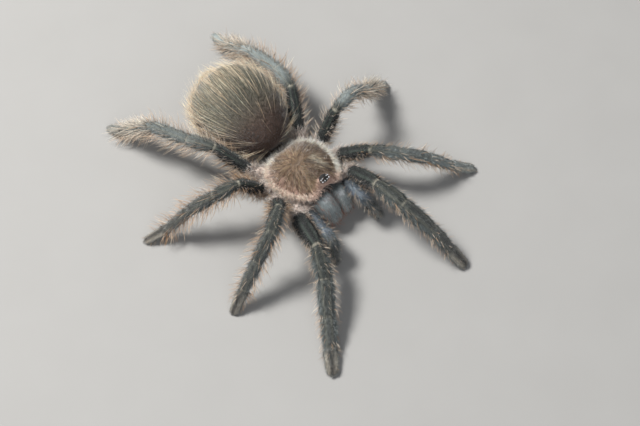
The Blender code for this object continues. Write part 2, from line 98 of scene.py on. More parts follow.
def rise(value: Array, start: float, end: float) -> Array:
    """A smooth step from 0 at start to 1 at end."""
    share = np.clip((value - start) / (end - start), 0, 1)
    return share * share * (3 - 2 * share)


def off_top(turn: Array) -> Array:
    """How far a place lies from a shell's upper side, either way, as a share of the whole way round."""
    return np.abs(((turn + 0.5) % 1) - 0.5)


def row_middles(grid: Array) -> tuple[Array, Array]:
    """The middles of a grid's first and last row, where its poles lie."""
    return grid[0].mean(axis=0), grid[-1].mean(axis=0)


def dye(code: str) -> Array:
    """A display colour such as d8c3a5, as linear red, green and blue."""
    display = np.array([int(code[k : k + 2], 16) for k in (0, 2, 4)]) / 255
    return np.where(display <= 0.04045, display / 12.92, ((display + 0.055) / 1.055) ** 2.4)


def soften(values: Array, reach: float, step: float, odd: bool) -> Array:
    """Rounds off a row of values by a running mean with bell-shaped weights.

    Args:
        values: one value or point for each step along a path.
        reach: how far the bell reaches before its weight has sunk to about 0.6, as a length.
        step: the distance between two values.
        odd: whether the path runs straight on past its ends, as its points do, or stays level, as a girth.

    Returns:
        The rounded values, as many as before.
    """
    half = max(1, int(round(3 * reach / step)))
    weights = np.exp(-0.5 * (np.arange(-half, half + 1) * step / reach) ** 2)
    weights /= weights.sum()
    pads = ((half, half),) + ((0, 0),) * (values.ndim - 1)
    if odd:
        padded = np.pad(values, pads, mode="reflect", reflect_type="odd")
    else:
        padded = np.pad(values, pads, mode="edge")
    flat = padded.reshape(len(padded), -1)
    rounded = [np.convolve(flat[:, k], weights, mode="valid") for k in range(flat.shape[1])]
    return np.stack(rounded, axis=-1).reshape(values.shape)


# ------------------------------
# The frame


def corners(node: str) -> Array:
    """The corners of a frame node's solid, each once."""
    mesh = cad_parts[node].data
    flat = np.empty(len(mesh.vertices) * 3, np.float32)
    mesh.vertices.foreach_get("co", flat)
    return np.unique(flat.reshape(-1, 3).astype(float).round(7), axis=0)


@dataclass
class Rings:
    """A row of rings along a tube: their centres and half sizes across and upwards."""

    centres: Array
    half_widths: Array
    half_heights: Array


def tube_frame(tangents: Array) -> tuple[Array, Array]:
    """The level direction across a path, and the direction to its upper side, at each of its points."""
    across = unit(np.cross(UP, tangents))
    return across, np.cross(tangents, across)


def read_rings(node: str, before: Array, count: int) -> Rings:
    """Reads the rings of a straight tube from the frame.

    Sorted by their distance along the tube, each run of twelve corners is one ring. The tube's direction
    starts as the longest extent of its corners, pointing away from the given point, and is then taken from
    its rings.

    Args:
        node: the frame's node.
        before: a point on the side where the tube starts.
        count: how many rings to read.

    Returns:
        The rings, in order from the start.
    """
    points = corners(node)
    offsets = points - points.mean(axis=0)
    way = np.linalg.svd(offsets, full_matrices=False)[2][0]
    way = way * np.sign(way @ (points.mean(axis=0) - before))
    for _ in range(6):
        order = np.argsort(points @ way)
        way = unit(points[order[-RING:]].mean(axis=0) - points[order[:RING]].mean(axis=0))
    order = np.argsort(points @ way)
    way = unit(points[order[RING : 2 * RING]].mean(axis=0) - points[order[:RING]].mean(axis=0))
    order = np.argsort(points @ way)
    rings = points[order[: RING * count]].reshape(count, RING, 3)
    centres = rings.mean(axis=1)
    across, upwards = tube_frame(way[None])
    spread = rings - centres[:, None]
    edge = math.cos(math.pi / RING)
    return Rings(
        centres,
        np.abs(spread @ across[0]).max(axis=1) / edge,
        np.abs(spread @ upwards[0]).max(axis=1) / edge,
    )


# ------------------------------
# The atlas, the shells and the roots of hairs on them


@dataclass(frozen=True)
class Cell:
    """The rectangle of the atlas that one shell is unrolled on."""

    left: float
    low: float
    width: float
    height: float

    def place(self, around: Array, along: Array) -> Array:
        """The atlas point for a share of the way round and along the shell."""
        return np.stack([self.left + self.width * around, self.low + self.height * along], axis=-1)

    def strip(self, index: int, count: int) -> "Cell":
        """One of so many equal upright strips of the cell."""
        width = self.width / count
        return Cell(self.left + width * index, self.low, width * 0.9, self.height)


class Atlas:
    """Hands out equal cells of the unit square, row by row."""

    COLUMNS = 5
    ROWS = 5
    MARGIN = 0.006

    def __init__(self) -> None:
        """Starts with no cell given out."""
        self.used = 0

    def cell(self) -> Cell:
        """The next free cell, with a margin all round."""
        row, column = divmod(self.used, self.COLUMNS)
        self.used += 1
        width, height = 1 / self.COLUMNS, 1 / self.ROWS
        return Cell(
            column * width + self.MARGIN,
            row * height + self.MARGIN,
            width - 2 * self.MARGIN,
            height - 2 * self.MARGIN,
        )


@dataclass
class Roots:
    """Where hairs grow: their places, the skin's directions there, and their points on the atlas."""

    place: Array
    normal: Array
    along: Array
    share: Array
    turn: Array
    atlas: Array
    fields: dict[str, Array]


@dataclass
class Shell:
    """A closed piece of skin: a grid of rows along it and columns round it, and a pole past each end.

    Attributes:
        points: rows by columns by 3.
        poles: the points that close the first and the last row.
        cell: its place on the atlas.
        tint: the skin's colour at each grid point.
        fields: other values on the grid that the coat needs at its roots.
    """

    points: Array
    poles: tuple[Array, Array]
    cell: Cell
    tint: Array | None = None
    fields: dict[str, Array] = field(default_factory=dict)

    def __post_init__(self) -> None:
        """Works out the directions along, round and out of the surface from differences of its grid."""
        self.along = unit(np.gradient(self.points, axis=0))
        around = np.roll(self.points, -1, axis=1) - np.roll(self.points, 1, axis=1)
        normal = unit(np.cross(around, self.along))
        hubs = self.points.mean(axis=1, keepdims=True)
        self.outward = 1 if (normal * (self.points - hubs)).sum() > 0 else -1
        self.normal = normal * self.outward

    def at(self, values: Array, rows: Array, columns: Array) -> Array:
        """Reads values on the grid between its points, by their four neighbours' weights.

        Args:
            values: one for each grid point.
            rows, columns: where to read, in whole and part steps of the grid.

        Returns:
            The values there.
        """
        row = rows.astype(int)
        column = columns.astype(int)
        beside = (column + 1) % self.points.shape[1]
        down, right = rows - row, columns - column
        if values.ndim > 2:
            down, right = down[:, None], right[:, None]
        near = values[row, column] * (1 - right) + values[row, beside] * right
        far = values[row + 1, column] * (1 - right) + values[row + 1, beside] * right
        return near * (1 - down) + far * down

    def roots(self, spacing: float, density: Reals, rng: np.random.Generator) -> Roots:
        """Scatters roots over the skin by its area.

        Args:
            spacing: the mean distance between two roots where the density is 1.
            density: how closely they stand, from 0 to 1, at each grid point.
            rng: the source of chance.

        Returns:
            The roots.
        """
        rows, columns = self.points.shape[:2]
        down = self.points[1:] - self.points[:-1]
        right = np.roll(self.points, -1, axis=1) - self.points
        area = np.linalg.norm(np.cross(down, right[:-1]), axis=-1)
        weight = area * np.broadcast_to(density, (rows, columns))[:-1]
        total = weight.sum()
        count = int(round(total / spacing**2))
        chosen = rng.choice(weight.size, size=count, p=weight.ravel() / total)
        row = chosen // columns + rng.random(count)
        column = chosen % columns + rng.random(count)
        share, turn = row / (rows - 1), column / columns
        return Roots(
            self.at(self.points, row, column),
            unit(self.at(self.normal, row, column)),
            unit(self.at(self.along, row, column)),
            share,
            turn,
            self.cell.place(turn, share),
            {name: self.at(values, row, column) for name, values in self.fields.items()},
        )


# ------------------------------
# Meshes


@dataclass
class Draft:
    """Gathers closed surfaces and makes them into one mesh object, with its atlas map and tint.

    Attributes:
        points: arrays of places.
        faces: arrays of corner numbers, one row for each face, with three or four corners.
        atlas: arrays of atlas points, one for each corner of each face.
        tints: arrays of colours, one for each point.
        count: how many points there are.
    """

    points: list[Array] = field(default_factory=list)
    faces: list[Array] = field(default_factory=list)
    atlas: list[Array] = field(default_factory=list)
    tints: list[Array] = field(default_factory=list)
    count: int = 0

    def add(self, points: Array, faces: Array, atlas: Array, tints: Array) -> None:
        """Adds points and faces, whose corner numbers count from the first of these points."""
        self.points.append(points)
        self.tints.append(tints)
        self.add_faces(faces + self.count, atlas)
        self.count += len(points)

    def add_faces(self, faces: Array, atlas: Array) -> None:
        """Adds faces on points that are already there."""
        self.faces.append(faces)
        self.atlas.append(atlas)

    def add_shell(self, shell: Shell) -> None:
        """Adds a shell: a face of four corners in each cell of its grid, and a fan of three at each pole.

        Args:
            shell: the shell, with its tint.
        """
        rows, columns = shell.points.shape[:2]
        start = self.count
        tint = np.broadcast_to(shell.tint, shell.points.shape).reshape(-1, 3)
        placed = np.concatenate([shell.points.reshape(-1, 3), np.stack(shell.poles)])
        placed[:, 2] = np.maximum(placed[:, 2], FLOOR_CLEARANCE)
        self.points.append(placed)
        self.tints.append(np.concatenate([tint, tint[:1], tint[-1:]]))
        self.count += rows * columns + 2
        row, column = np.meshgrid(np.arange(rows - 1), np.arange(columns), indexing="ij")
        quads, spots = [], []
        for down, right in ((0, 0), (0, 1), (1, 1), (1, 0)):
            quads.append(start + (row + down) * columns + (column + right) % columns)
            spots.append(shell.cell.place((column + right) / columns, (row + down) / (rows - 1)))
        faces = np.stack(quads, -1).reshape(-1, 4)
        self._faces_out(faces, np.stack(spots, -2).reshape(-1, 4, 2), shell.outward)
        ring = np.arange(columns)
        after = (ring + 1) % columns
        ends = ((0, rows * columns, 0.0, 1), ((rows - 1) * columns, rows * columns + 1, 1.0, -1))
        for base, pole, level, turn in ends:
            fan = np.stack([start + base + after, start + base + ring, np.full(columns, start + pole)], -1)
            spots = [
                shell.cell.place((ring + 1) / columns, np.full(columns, level)),
                shell.cell.place(ring / columns, np.full(columns, level)),
                shell.cell.place((ring + 0.5) / columns, np.full(columns, level - turn * POLE_STEP)),
            ]
            self._faces_out(fan, np.stack(spots, -2), shell.outward * turn)

    def _faces_out(self, faces: Array, atlas: Array, outward: int) -> None:
        """Adds faces, turned over where their order of corners points inwards."""
        self.add_faces(faces[:, ::outward], atlas[:, ::outward])

    def triangles(self) -> int:
        """How many triangles the mesh has."""
        return sum(len(faces) * (faces.shape[1] - 2) for faces in self.faces)

    def build(self, name: str) -> bpy.types.Object:
        """Makes the mesh and its object, and links it to the scene.

        Args:
            name: the piece's name.

        Returns:
            The new object, at the origin.
        """
        points = np.concatenate(self.points).astype(np.float32)
        sizes = np.concatenate([np.full(len(faces), faces.shape[1]) for faces in self.faces])
        loops = np.concatenate([faces.ravel() for faces in self.faces])
        spots = np.concatenate([atlas.reshape(-1, 2) for atlas in self.atlas]).astype(np.float32)
        mesh = bpy.data.meshes.new(name)
        mesh.vertices.add(len(points))
        mesh.vertices.foreach_set("co", points.ravel())
        mesh.loops.add(len(loops))
        mesh.loops.foreach_set("vertex_index", loops.astype(np.int32))
        mesh.polygons.add(len(sizes))
        mesh.polygons.foreach_set("loop_start", (np.cumsum(sizes) - sizes).astype(np.int32))
        mesh.polygons.foreach_set("use_smooth", np.ones(len(sizes), bool))
        mesh.update(calc_edges=True)
        mesh.uv_layers.new(name=ATLAS_MAP).uv.foreach_set("vector", spots.ravel())
        tints = np.concatenate(self.tints)
        tinted = np.concatenate([tints, np.ones((len(tints), 1))], axis=1).astype(np.float32)
        mesh.attributes.new("tint", "FLOAT_COLOR", "POINT").data.foreach_set("color", tinted.ravel())
        mesh.validate()
        made = bpy.data.objects.new(name, mesh)
        bpy.context.scene.collection.objects.link(made)
        return made


# ------------------------------
# Hair


@dataclass(frozen=True)
class Hair:
    """One kind of hair, each a thin three-sided spike that bends as it grows.

    Attributes:
        length: the shortest and the longest.
        lean: its angle to the skin at the root and at the tip, in degrees.
        scatter: the random part of the lean, in degrees.
        sway: the random turn to either side, in degrees.
        width: its width at the root.
        sections: how many straight lengths its bend is made of.
        vary: the random part of its brightness.
    """

    length: Pair
    lean: Pair
    scatter: float
    sway: float
    width: float
    sections: int
    vary: float = 0.2


SPIKE_SIDES = 3
ROOT_DEPTH = 0.08 * MM
LEAST_LEAN = 0.02  # in radians, so that no hair dips into the skin
THINNING = 0.6  # the power by which a hair's girth sinks to nothing at its tip
SWERVE = 0.8  # how much a hair turns aside on its way, as a share of its sway
BRIGHTEST = 0.88  # the brightest that a hair's tint may be


def spike_faces(sections: int) -> tuple[Array, Array]:
    """The faces of one spike, and where each of their corners lies in its patch.

    Its points are rings of three from the root up, and then the tip. Each side has its own strip of the
    patch.

    Args:
        sections: its number of lengths.

    Returns:
        The corner numbers and the shares of the patch across and along.
    """
    faces, spots = [[2, 1, 0]], [[(0.9, 0.0), (0.5, 0.2), (0.1, 0.0)]]
    tip = sections * SPIKE_SIDES
    for side in range(SPIKE_SIDES):
        left, right = side / SPIKE_SIDES, (side + 1) / SPIKE_SIDES
        follow = (side + 1) % SPIKE_SIDES
        for level in range(sections - 1):
            low, high = level / sections, (level + 1) / sections
            here, above = level * SPIKE_SIDES, (level + 1) * SPIKE_SIDES
            faces.append([here + side, here + follow, above + follow])
            spots.append([(left, low), (right, low), (right, high)])
            faces.append([here + side, above + follow, above + side])
            spots.append([(left, low), (right, high), (left, high)])
        top = (sections - 1) * SPIKE_SIDES
        faces.append([top + side, top + follow, tip])
        spots.append([(left, 1 - 1 / sections), (right, 1 - 1 / sections), ((left + right) / 2, 1.0)])
    return np.array(faces), np.array(spots)


@dataclass
class Coat:
    """Grows hairs into the drafts of named pieces."""

    rng: np.random.Generator
    drafts: dict[str, Draft] = field(default_factory=dict)

    def grow(
        self,
        piece: str,
        roots: Roots,
        hair: Hair,
        tints: tuple[Array, Array],
        way: Array | None = None,
        scale: Reals = 1.0,
    ) -> None:
        """Grows one hair from each root.

        A hair's middle line runs in equal steps, whose angle to the skin goes from the lean at its root to
        the lean at its tip. Its girth sinks from the root to nothing at the tip.

        Args:
            piece: the piece that the hairs belong to.
            roots: where they grow.
            hair: their kind.
            tints: their colours at the root and at the tip.
            way: which way they are combed, or None for along the shell's rows.
            scale: what their lengths are multiplied by.
        """
        rng, count = self.rng, len(roots.place)
        combed = roots.along if way is None else way
        combed = unit(combed - roots.normal * (combed * roots.normal).sum(axis=-1, keepdims=True))
        beside = np.cross(roots.normal, combed)
        turn = np.radians(hair.sway) * rng.normal(size=(count, 1))
        combed, beside = (
            combed * np.cos(turn) + beside * np.sin(turn),
            beside * np.cos(turn) - combed * np.sin(turn),
        )
        tilt = np.radians(hair.scatter) * rng.normal(size=(count, 1))
        swerve = np.radians(hair.sway) * rng.normal(size=(count, 1)) * SWERVE
        length = rng.uniform(*hair.length, size=(count, 1)) * np.reshape(scale, (-1, 1))
        girth = hair.width / 2 * rng.uniform(0.8, 1.2, size=(count, 1))
        spine = roots.place - roots.normal * ROOT_DEPTH
        points = np.empty((count, hair.sections * SPIKE_SIDES + 1, 3))
        tints_at = np.empty_like(points)
        shine = 1 + hair.vary * rng.normal(size=(count, 1)).clip(-2, 2)
        for level in range(hair.sections + 1):
            share = level / hair.sections
            angle = np.radians(mix(*hair.lean, (level + 0.5) / hair.sections)) + tilt
            angle = np.maximum(angle, LEAST_LEAN)
            drift = swerve * share
            step = combed * np.cos(angle) * np.cos(drift) + beside * np.sin(drift)
            step = step + roots.normal * np.sin(angle)
            tint = np.minimum(mix(tints[0], tints[1], share) * shine, BRIGHTEST)
            if level == hair.sections:
                points[:, -1] = spine
                tints_at[:, -1] = tint
                break
            over = unit(np.cross(step, beside))
            radius = girth * (1 - share) ** THINNING
            for side in range(SPIKE_SIDES):
                angle_round = math.tau * side / SPIKE_SIDES
                offset = beside * math.cos(angle_round) + over * math.sin(angle_round)
                points[:, level * SPIKE_SIDES + side] = spine + offset * radius
                tints_at[:, level * SPIKE_SIDES + side] = tint
            spine = spine + unit(step) * length / hair.sections
        points[..., 2] = np.maximum(points[..., 2], FLOOR_CLEARANCE)
        faces, spots = spike_faces(hair.sections)
        faces = faces[None] + (np.arange(count) * points.shape[1])[:, None, None]
        atlas = roots.atlas[:, None, None] + (spots - 0.5)[None] * PATCH
        draft = self.drafts.setdefault(piece, Draft())
        corners_at = points.reshape(-1, 3)
        draft.add(corners_at, faces.reshape(-1, 3), atlas.reshape(-1, 3, 2), tints_at.reshape(-1, 3))


# ------------------------------
# Shaders


class Value:
    """A socket that can be used in sums. Each operator adds the Math node that works it out."""

    def __init__(self, board: "Board", socket: Socket) -> None:
        """Wraps an output socket of the board."""
        self.board = board
        self.socket = socket

    def _math(self, operation: str, first: "Value | float", second: "Value | float") -> "Value":
        """Adds a Math node on two values or numbers."""
        node = self.board.node("ShaderNodeMath", {"operation": operation}, {0: first, 1: second})
        return Value(self.board, node.outputs[0])

    def __add__(self, other: "Value | float") -> "Value":
        """The sum."""
        return self._math("ADD", self, other)

    def __radd__(self, other: float) -> "Value":
        """The sum, with the number first."""
        return self._math("ADD", other, self)

    def __sub__(self, other: "Value | float") -> "Value":
        """The difference."""
        return self._math("SUBTRACT", self, other)

    def __rsub__(self, other: float) -> "Value":
        """The difference from a number."""
        return self._math("SUBTRACT", other, self)

    def __mul__(self, other: "Value | float") -> "Value":
        """The product."""
        return self._math("MULTIPLY", self, other)

    def __rmul__(self, other: float) -> "Value":
        """The product, with the number first."""
        return self._math("MULTIPLY", other, self)


class Board:
    """A new material's nodes, with the principled shader that they feed."""

    def __init__(self, name: str) -> None:
        """Makes the material."""
        self.material = bpy.data.materials.new(name)
        self.material.use_nodes = True
        self.tree = self.material.node_tree
        self.shader = self.tree.nodes["Principled BSDF"]

    def node(self, kind: str, settings: dict, sockets: dict) -> bpy.types.Node:
        """Adds a node.

        Args:
            kind: the node's type.
            settings: its own properties, which are set first.
            sockets: what each input, by name or number, is set to or linked from.

        Returns:
            The node.
        """
        made = self.tree.nodes.new(kind)
        for name, value in settings.items():
            setattr(made, name, value)
        for name, value in sockets.items():
            self.feed(made.inputs[name], value)
        return made

    def feed(self, target: Socket, value: "Value | Socket | float | tuple") -> None:
        """Links a value to an input socket, or sets the socket to a number, vector or colour.

        Args:
            target: the input socket.
            value: what it gets.
        """
        if isinstance(value, Value):
            value = value.socket
        if isinstance(value, Socket):
            self.tree.links.new(value, target)
        else:
            target.default_value = value

    def place(self) -> Socket:
        """The point's place on the object."""
        return self.node("ShaderNodeTexCoord", {}, {}).outputs["Object"]

    def noise(self, scale: float, detail: float) -> Value:
        """Cloudy noise from 0 to 1, with that many clouds in a metre."""
        made = self.node("ShaderNodeTexNoise", {}, {"Vector": self.place(), "Scale": scale, "Detail": detail})
        return Value(self, made.outputs["Fac"])

    def tint(self) -> Socket:
        """The colour that the mesh carries."""
        return self.node("ShaderNodeAttribute", {"attribute_name": "tint"}, {}).outputs["Color"]

    def scaled(self, colour: Socket, factor: Value) -> Socket:
        """A colour made lighter or darker by a factor."""
        made = self.node("ShaderNodeVectorMath", {"operation": "SCALE"}, {0: colour, "Scale": factor})
        return made.outputs["Vector"]

    def between(self, low: tuple[float, ...], high: tuple[float, ...], share: Value) -> Socket:
        """A colour between two, at a share that changes over the surface."""
        sockets = {"Factor": share, 6: (*low, 1.0), 7: (*high, 1.0)}
        return self.node("ShaderNodeMix", {"data_type": "RGBA"}, sockets).outputs[2]

    def bumped(self, height: Value, depth: float, strength: float) -> Socket:
        """The normal of a surface that is raised by height times depth."""
        sockets = {"Height": height, "Distance": depth, "Strength": strength}
        return self.node("ShaderNodeBump", {}, sockets).outputs["Normal"]

    def dress(self, **sockets: object) -> bpy.types.Material:
        """Feeds the principled shader's inputs, named with _ for a blank, and gives back the material."""
        for name, value in sockets.items():
            self.feed(self.shader.inputs[name.replace("_", " ")], value)
        return self.material


@dataclass(frozen=True)
class CoatFinish:
    """Hair that carries its own tint, with a soft sheen."""

    name: str
    roughness: float = 0.55
    sheen: float = 0.35
    clouds: float = 900.0

    def material(self) -> bpy.types.Material:
        """Makes the material: the mesh's tint, a little lighter and darker in small clouds."""
        board = Board(self.name)
        patchy = 0.85 + 0.3 * board.noise(self.clouds, 2.0)
        return board.dress(
            Base_Color=board.scaled(board.tint(), patchy),
            Roughness=self.roughness,
            Sheen_Weight=self.sheen,
            Sheen_Roughness=0.4,
            IOR=1.5,
        )


@dataclass(frozen=True)
class SkinFinish:
    """The cuticle and the finest down on it: the mesh's tint, with a fine pile."""

    name: str
    pile: float = 5200.0
    folds: float = 900.0
    depth: float = 0.06 * MM

    def material(self) -> bpy.types.Material:
        """Makes the material, whose bump is fine pile over soft folds."""
        board = Board(self.name)
        pile = board.noise(self.pile, 3.0)
        folds = board.noise(self.folds, 2.0)
        height = pile * 0.6 + folds * 0.4
        return board.dress(
            Base_Color=board.scaled(board.tint(), 0.6 + 0.8 * pile),
            Roughness=0.6 + 0.25 * folds,
            Normal=board.bumped(height, self.depth, 0.8),
            Sheen_Weight=0.2,
            Sheen_Roughness=0.5,
        )


@dataclass(frozen=True)
class HornFinish:
    """Polished dark horn, for fangs and claws: black, and reddish in clouds."""

    name: str
    dark: tuple[float, float, float] = (0.012, 0.008, 0.007)
    warm: tuple[float, float, float] = (0.09, 0.022, 0.010)

    def material(self) -> bpy.types.Material:
        """Makes the material, with fine scratches along its roughness."""
        board = Board(self.name)
        clouds = board.noise(700.0, 2.0)
        return board.dress(
            Base_Color=board.between(self.dark, self.warm, clouds * 0.5),
            Roughness=0.14 + 0.12 * board.noise(6000.0, 2.0),
            Normal=board.bumped(clouds, 0.02 * MM, 0.3),
            Coat_Weight=0.5,
        )


@dataclass(frozen=True)
class EyeFinish:
    """A wet lens. Its mesh carries its tint, dark at the rim and pale on top, a painted highlight as strong
    as the eye is pearly, with faint clouds.
    """

    name: str

    def material(self) -> bpy.types.Material:
        """Makes the material."""
        board = Board(self.name)
        milky = 0.8 + 0.4 * board.noise(2500.0, 1.0)
        return board.dress(
            Base_Color=board.scaled(board.tint(), milky),
            Roughness=0.05 + 0.03 * milky,
            IOR=1.5,
            Coat_Weight=1.0,
            Coat_Roughness=0.02,
        )


@dataclass(frozen=True)
class FloorFinish:
    """A plain pale studio floor with a very faint grain."""

    name: str
    dark: tuple[float, float, float] = (0.35, 0.345, 0.335)
    pale: tuple[float, float, float] = (0.38, 0.375, 0.365)

    def material(self) -> bpy.types.Material:
        """Makes the material."""
        board = Board(self.name)
        grain = board.noise(60.0, 3.0)
        colour = board.between(self.dark, self.pale, grain)
        return board.dress(Base_Color=colour, Roughness=0.8 + 0.1 * grain)


Finish = CoatFinish | SkinFinish | HornFinish | EyeFinish


# ------------------------------
# The body's own place, and the way its forepart is held


class Side(Enum):
    """The animal's left and right, with the sign of X."""

    LEFT = 1
    RIGHT = -1

    @property
    def word(self) -> str:
        """The side's name as the frame's nodes spell it."""
        return self.name.lower()


def turned(points: Array, glance: float, nose_up: float) -> Array:
    """Turns points nose-up about the X axis, and then to the animal's left about the Z axis, in degrees.

    Args:
        points: the points.
        glance: the turn to the left.
        nose_up: the turn upwards.

    Returns:
        The turned points.
    """
    lift, turn = math.radians(nose_up), math.radians(glance)
    x, y, z = points[..., 0], points[..., 1], points[..., 2]
    y, z = y * math.cos(lift) + z * math.sin(lift), z * math.cos(lift) - y * math.sin(lift)
    x, y = x * math.cos(turn) - y * math.sin(turn), x * math.sin(turn) + y * math.cos(turn)
    return np.stack([x, y, z], axis=-1)


@dataclass(frozen=True)
class Poise:
    """Sets points from the body's own axes down in the scene.

    Attributes:
        origin: where the body's own origin is.
        glance: how far the forepart is turned to the animal's left, in degrees.
        nose_up: how far the forepart is tilted up, in degrees.
        pivot: the height about which it is tilted.
    """

    origin: Array
    glance: float = 3.0
    nose_up: float = 9.0
    pivot: float = 9.2 * MM

    def forepart(self, points: Array) -> Array:
        """Places points of the forepart."""
        lever = UP * self.pivot
        return turned(points - lever, self.glance, self.nose_up) + lever + self.origin

    def jaws(self, points: Array) -> Array:
        """Places points of the jaws, which glance with the head and hang at their own slope."""
        return turned(points, self.glance, 0.0) + self.origin

    def rear(self, points: Array) -> Array:
        """Places points of the abdomen and the waist."""
        return points + self.origin


def loop_angles(columns: int) -> Array:
    """The angle of each column of a shell, in one row."""
    return (math.tau * np.arange(columns) / columns)[None, :]


def arc(start: Pair, length: float, slope: float, bend: float, count: int) -> Array:
    """Points and tangents of an arc in the YZ plane, whose slope runs evenly from its start through its bend.

    Args:
        start: its first point, as y and z.
        length: its length.
        slope: its slope at the start, in degrees, where 0 is level and forwards.
        bend: how much the slope has changed at its end.
        count: how many points.

    Returns:
        For each point its y and z, and the y and z of its tangent.
    """
    turn = np.radians(slope + bend * np.linspace(0, 1, count))
    tangent = np.stack([-np.cos(turn), np.sin(turn)], axis=-1)
    steps = (tangent[1:] + tangent[:-1]) / 2 * length / (count - 1)
    points = np.array(start) + np.concatenate([np.zeros((1, 2)), np.cumsum(steps, axis=0)])
    return np.concatenate([points, tangent], axis=-1)


def arc_tube(
    path: Array,
    out: Reals,
    half_width: Array,
    half_depth: Array,
    columns: int,
    power: float = 1.0,
) -> Array:
    """A grid of points round an arc: ovals across it, with column 0 on its upper side.

    Args:
        path: the arc, from arc().
        out: its distance from the middle plane, along X.
        half_width: of each oval.
        half_depth: of each oval.
        columns: how many points round it.
        power: of the sine and cosine, where less than 1 squares the ovals.

    Returns:
        The grid.
    """
    angle = loop_angles(columns)
    across = np.sign(np.sin(angle)) * np.abs(np.sin(angle)) ** power
    along = np.sign(np.cos(angle)) * np.abs(np.cos(angle)) ** power
    back = np.stack([path[:, 3], -path[:, 2]], axis=-1)
    x = out + half_width[:, None] * across
    depth = half_depth[:, None] * along
    y = path[:, :1] + back[:, :1] * depth
    z = path[:, 1:2] + back[:, 1:] * depth
    return np.stack([x, y, z], axis=-1)


def cap(share: Array, start: float, end: float) -> Array:
    """Rounds both ends of a tube: a quarter circle up to the start share, and one down from the end share."""
    before = np.clip((start - share) / max(start, 1e-9), 0, 0.985)
    after = np.clip((share - end) / max(1 - end, 1e-9), 0, 0.985)
    return np.sqrt(1 - before**2) * np.sqrt(1 - after**2)


def sunk(shell: Shell, depth: Reals) -> Shell:
    """Moves a shell's grid inwards by the depth of the coat on it."""
    spread = np.reshape(depth, np.shape(depth) + (1,) * (3 - np.ndim(depth)))
    shell.points = shell.points - shell.normal * spread
    return shell


# ------------------------------
# Colours of the animal


class Dye(Enum):
    """The animal's colours, with the painted highlights and sheens, as display codes."""

    WOOL = "dccbc0"
    FEMUR = "161b1a"
    FEMUR_STRIPE = "56645a"
    KNEE = "303532"
    SHIN = "3a3d3a"
    ANKLE = "41413d"
    FOOT = "6a6156"
    FOOT_PALE = "aaa396"
    # the outer segments' pale blue grey, also used for the painted sheen on the legs' sides
    FROST = "919b9b"
    STRIPE = "78786b"
    RING = "b3ad9c"
    BRISTLE_ROOT = "7a583c"
    BRISTLE = "c99f73"
    BRISTLE_PALE = "f0e2d0"
    SHIELD = "705746"
    SHIELD_GOLD = "b3a47f"
    SHIELD_DARK = "3a2d24"
    CREAM = "f8ead8"
    ROSE = "d3afa0"
    RUST = "a65a34"
    PALP = "7c8896"
    JAW = "939d9f"
    JAW_DARK = "262b2c"
    JAW_PALE = "c3cac8"
    BELLY = "2b211c"
    ABDOMEN = "3d2a1f"
    # the painted sheen on the abdomen's velvet, on top towards the back
    ABDOMEN_TOP = "6c6a5a"
    GUARD_ROOT = "6b4d38"
    GUARD = "f3e3c6"
    GOLD = "c08f52"
    MOUND = "0c0a09"
    LENS = "08080a"
    # white for the painted highlights on the jaws and the eyes
    PEARL = "eef1f4"
    SPINNERET = "4a3f3a"

    @property
    def linear(self) -> Array:
        """The colour as linear red, green and blue."""
        return dye(self.value)


def washed(base: Array, *washes: tuple[Dye | Array, Array]) -> Array:
    """Blends one colour after another over the base, each by its own share."""
    for colour, share in washes:
        base = blend(base, colour.linear if isinstance(colour, Dye) else colour, share)
    return base


# ------------------------------
# Limbs


@dataclass(frozen=True)
class LimbLook:
    """How one limb's coat differs from the others'.

    Attributes:
        outer_pale: how pale the outer segments are, from 0 to 1: their own blue grey, and how much it differs
            from leg to leg is painted light.
        bristles: how closely the long bristles stand.
        bristle_reach: what their length is multiplied by.
        bristle_pale: how pale the bristles are, from 0 to 1.
        brush: how thick the pale brush on the metatarsus is, from 0 to 1.
        shaggy: how much longer the velvet is.
        frosted: how much paler its upper sides are painted, a painted sheen, from 0 to 1.
    """

    outer_pale: float = 0.0
    bristles: float = 0.6
    bristle_reach: float = 0.7
    bristle_pale: float = 0.3
    brush: float = 0.0
    shaggy: float = 1.0
    frosted: float = 0.5


# Each limb's numbers are its outer_pale, bristles, bristle_reach, bristle_pale, and where they are given its
# brush and shaggy. How its outer_pale and side sheen differ from leg to leg follows the light on each leg,
# and is painted light.
LEG_LOOKS = {
    (Side.LEFT, 1): LimbLook(0.05, 0.5, 0.6, 0.5, frosted=0.25),
    (Side.LEFT, 2): LimbLook(0.55, 0.7, 0.75, 0.4, frosted=0.4),
    (Side.LEFT, 3): LimbLook(1.0, 0.8, 1.0, 0.7, 0.6, frosted=0.9),
    (Side.LEFT, 4): LimbLook(0.8, 0.9, 1.2, 0.5, 0.5),
    (Side.RIGHT, 1): LimbLook(0.08, 0.6, 0.65, 0.6, frosted=0.45),
    (Side.RIGHT, 2): LimbLook(0.05, 0.9, 0.95, 0.35, frosted=0.2),
    (Side.RIGHT, 3): LimbLook(0.0, 1.0, 1.15, 0.25, frosted=0.1),
    (Side.RIGHT, 4): LimbLook(0.4, 0.9, 1.2, 0.6, 0.7, frosted=0.1),
}
PALP_LOOK = LimbLook(0.15, 0.8, 0.55, 0.6, 0.0, 1.8)

CLAW_CLEARANCE = 0.16 * MM  # the least height of a claw's middle line
RING_PALENESS = {2: 0.9, 3: 0.6, 4: 0.5, 5: 0.4}  # how pale the ring at each joint is
LEG_SEGMENTS = ("femur", "patella", "tibia", "metatarsus", "tarsus")
PALP_SEGMENTS = ("femur", "patella", "tibia", "tarsus")


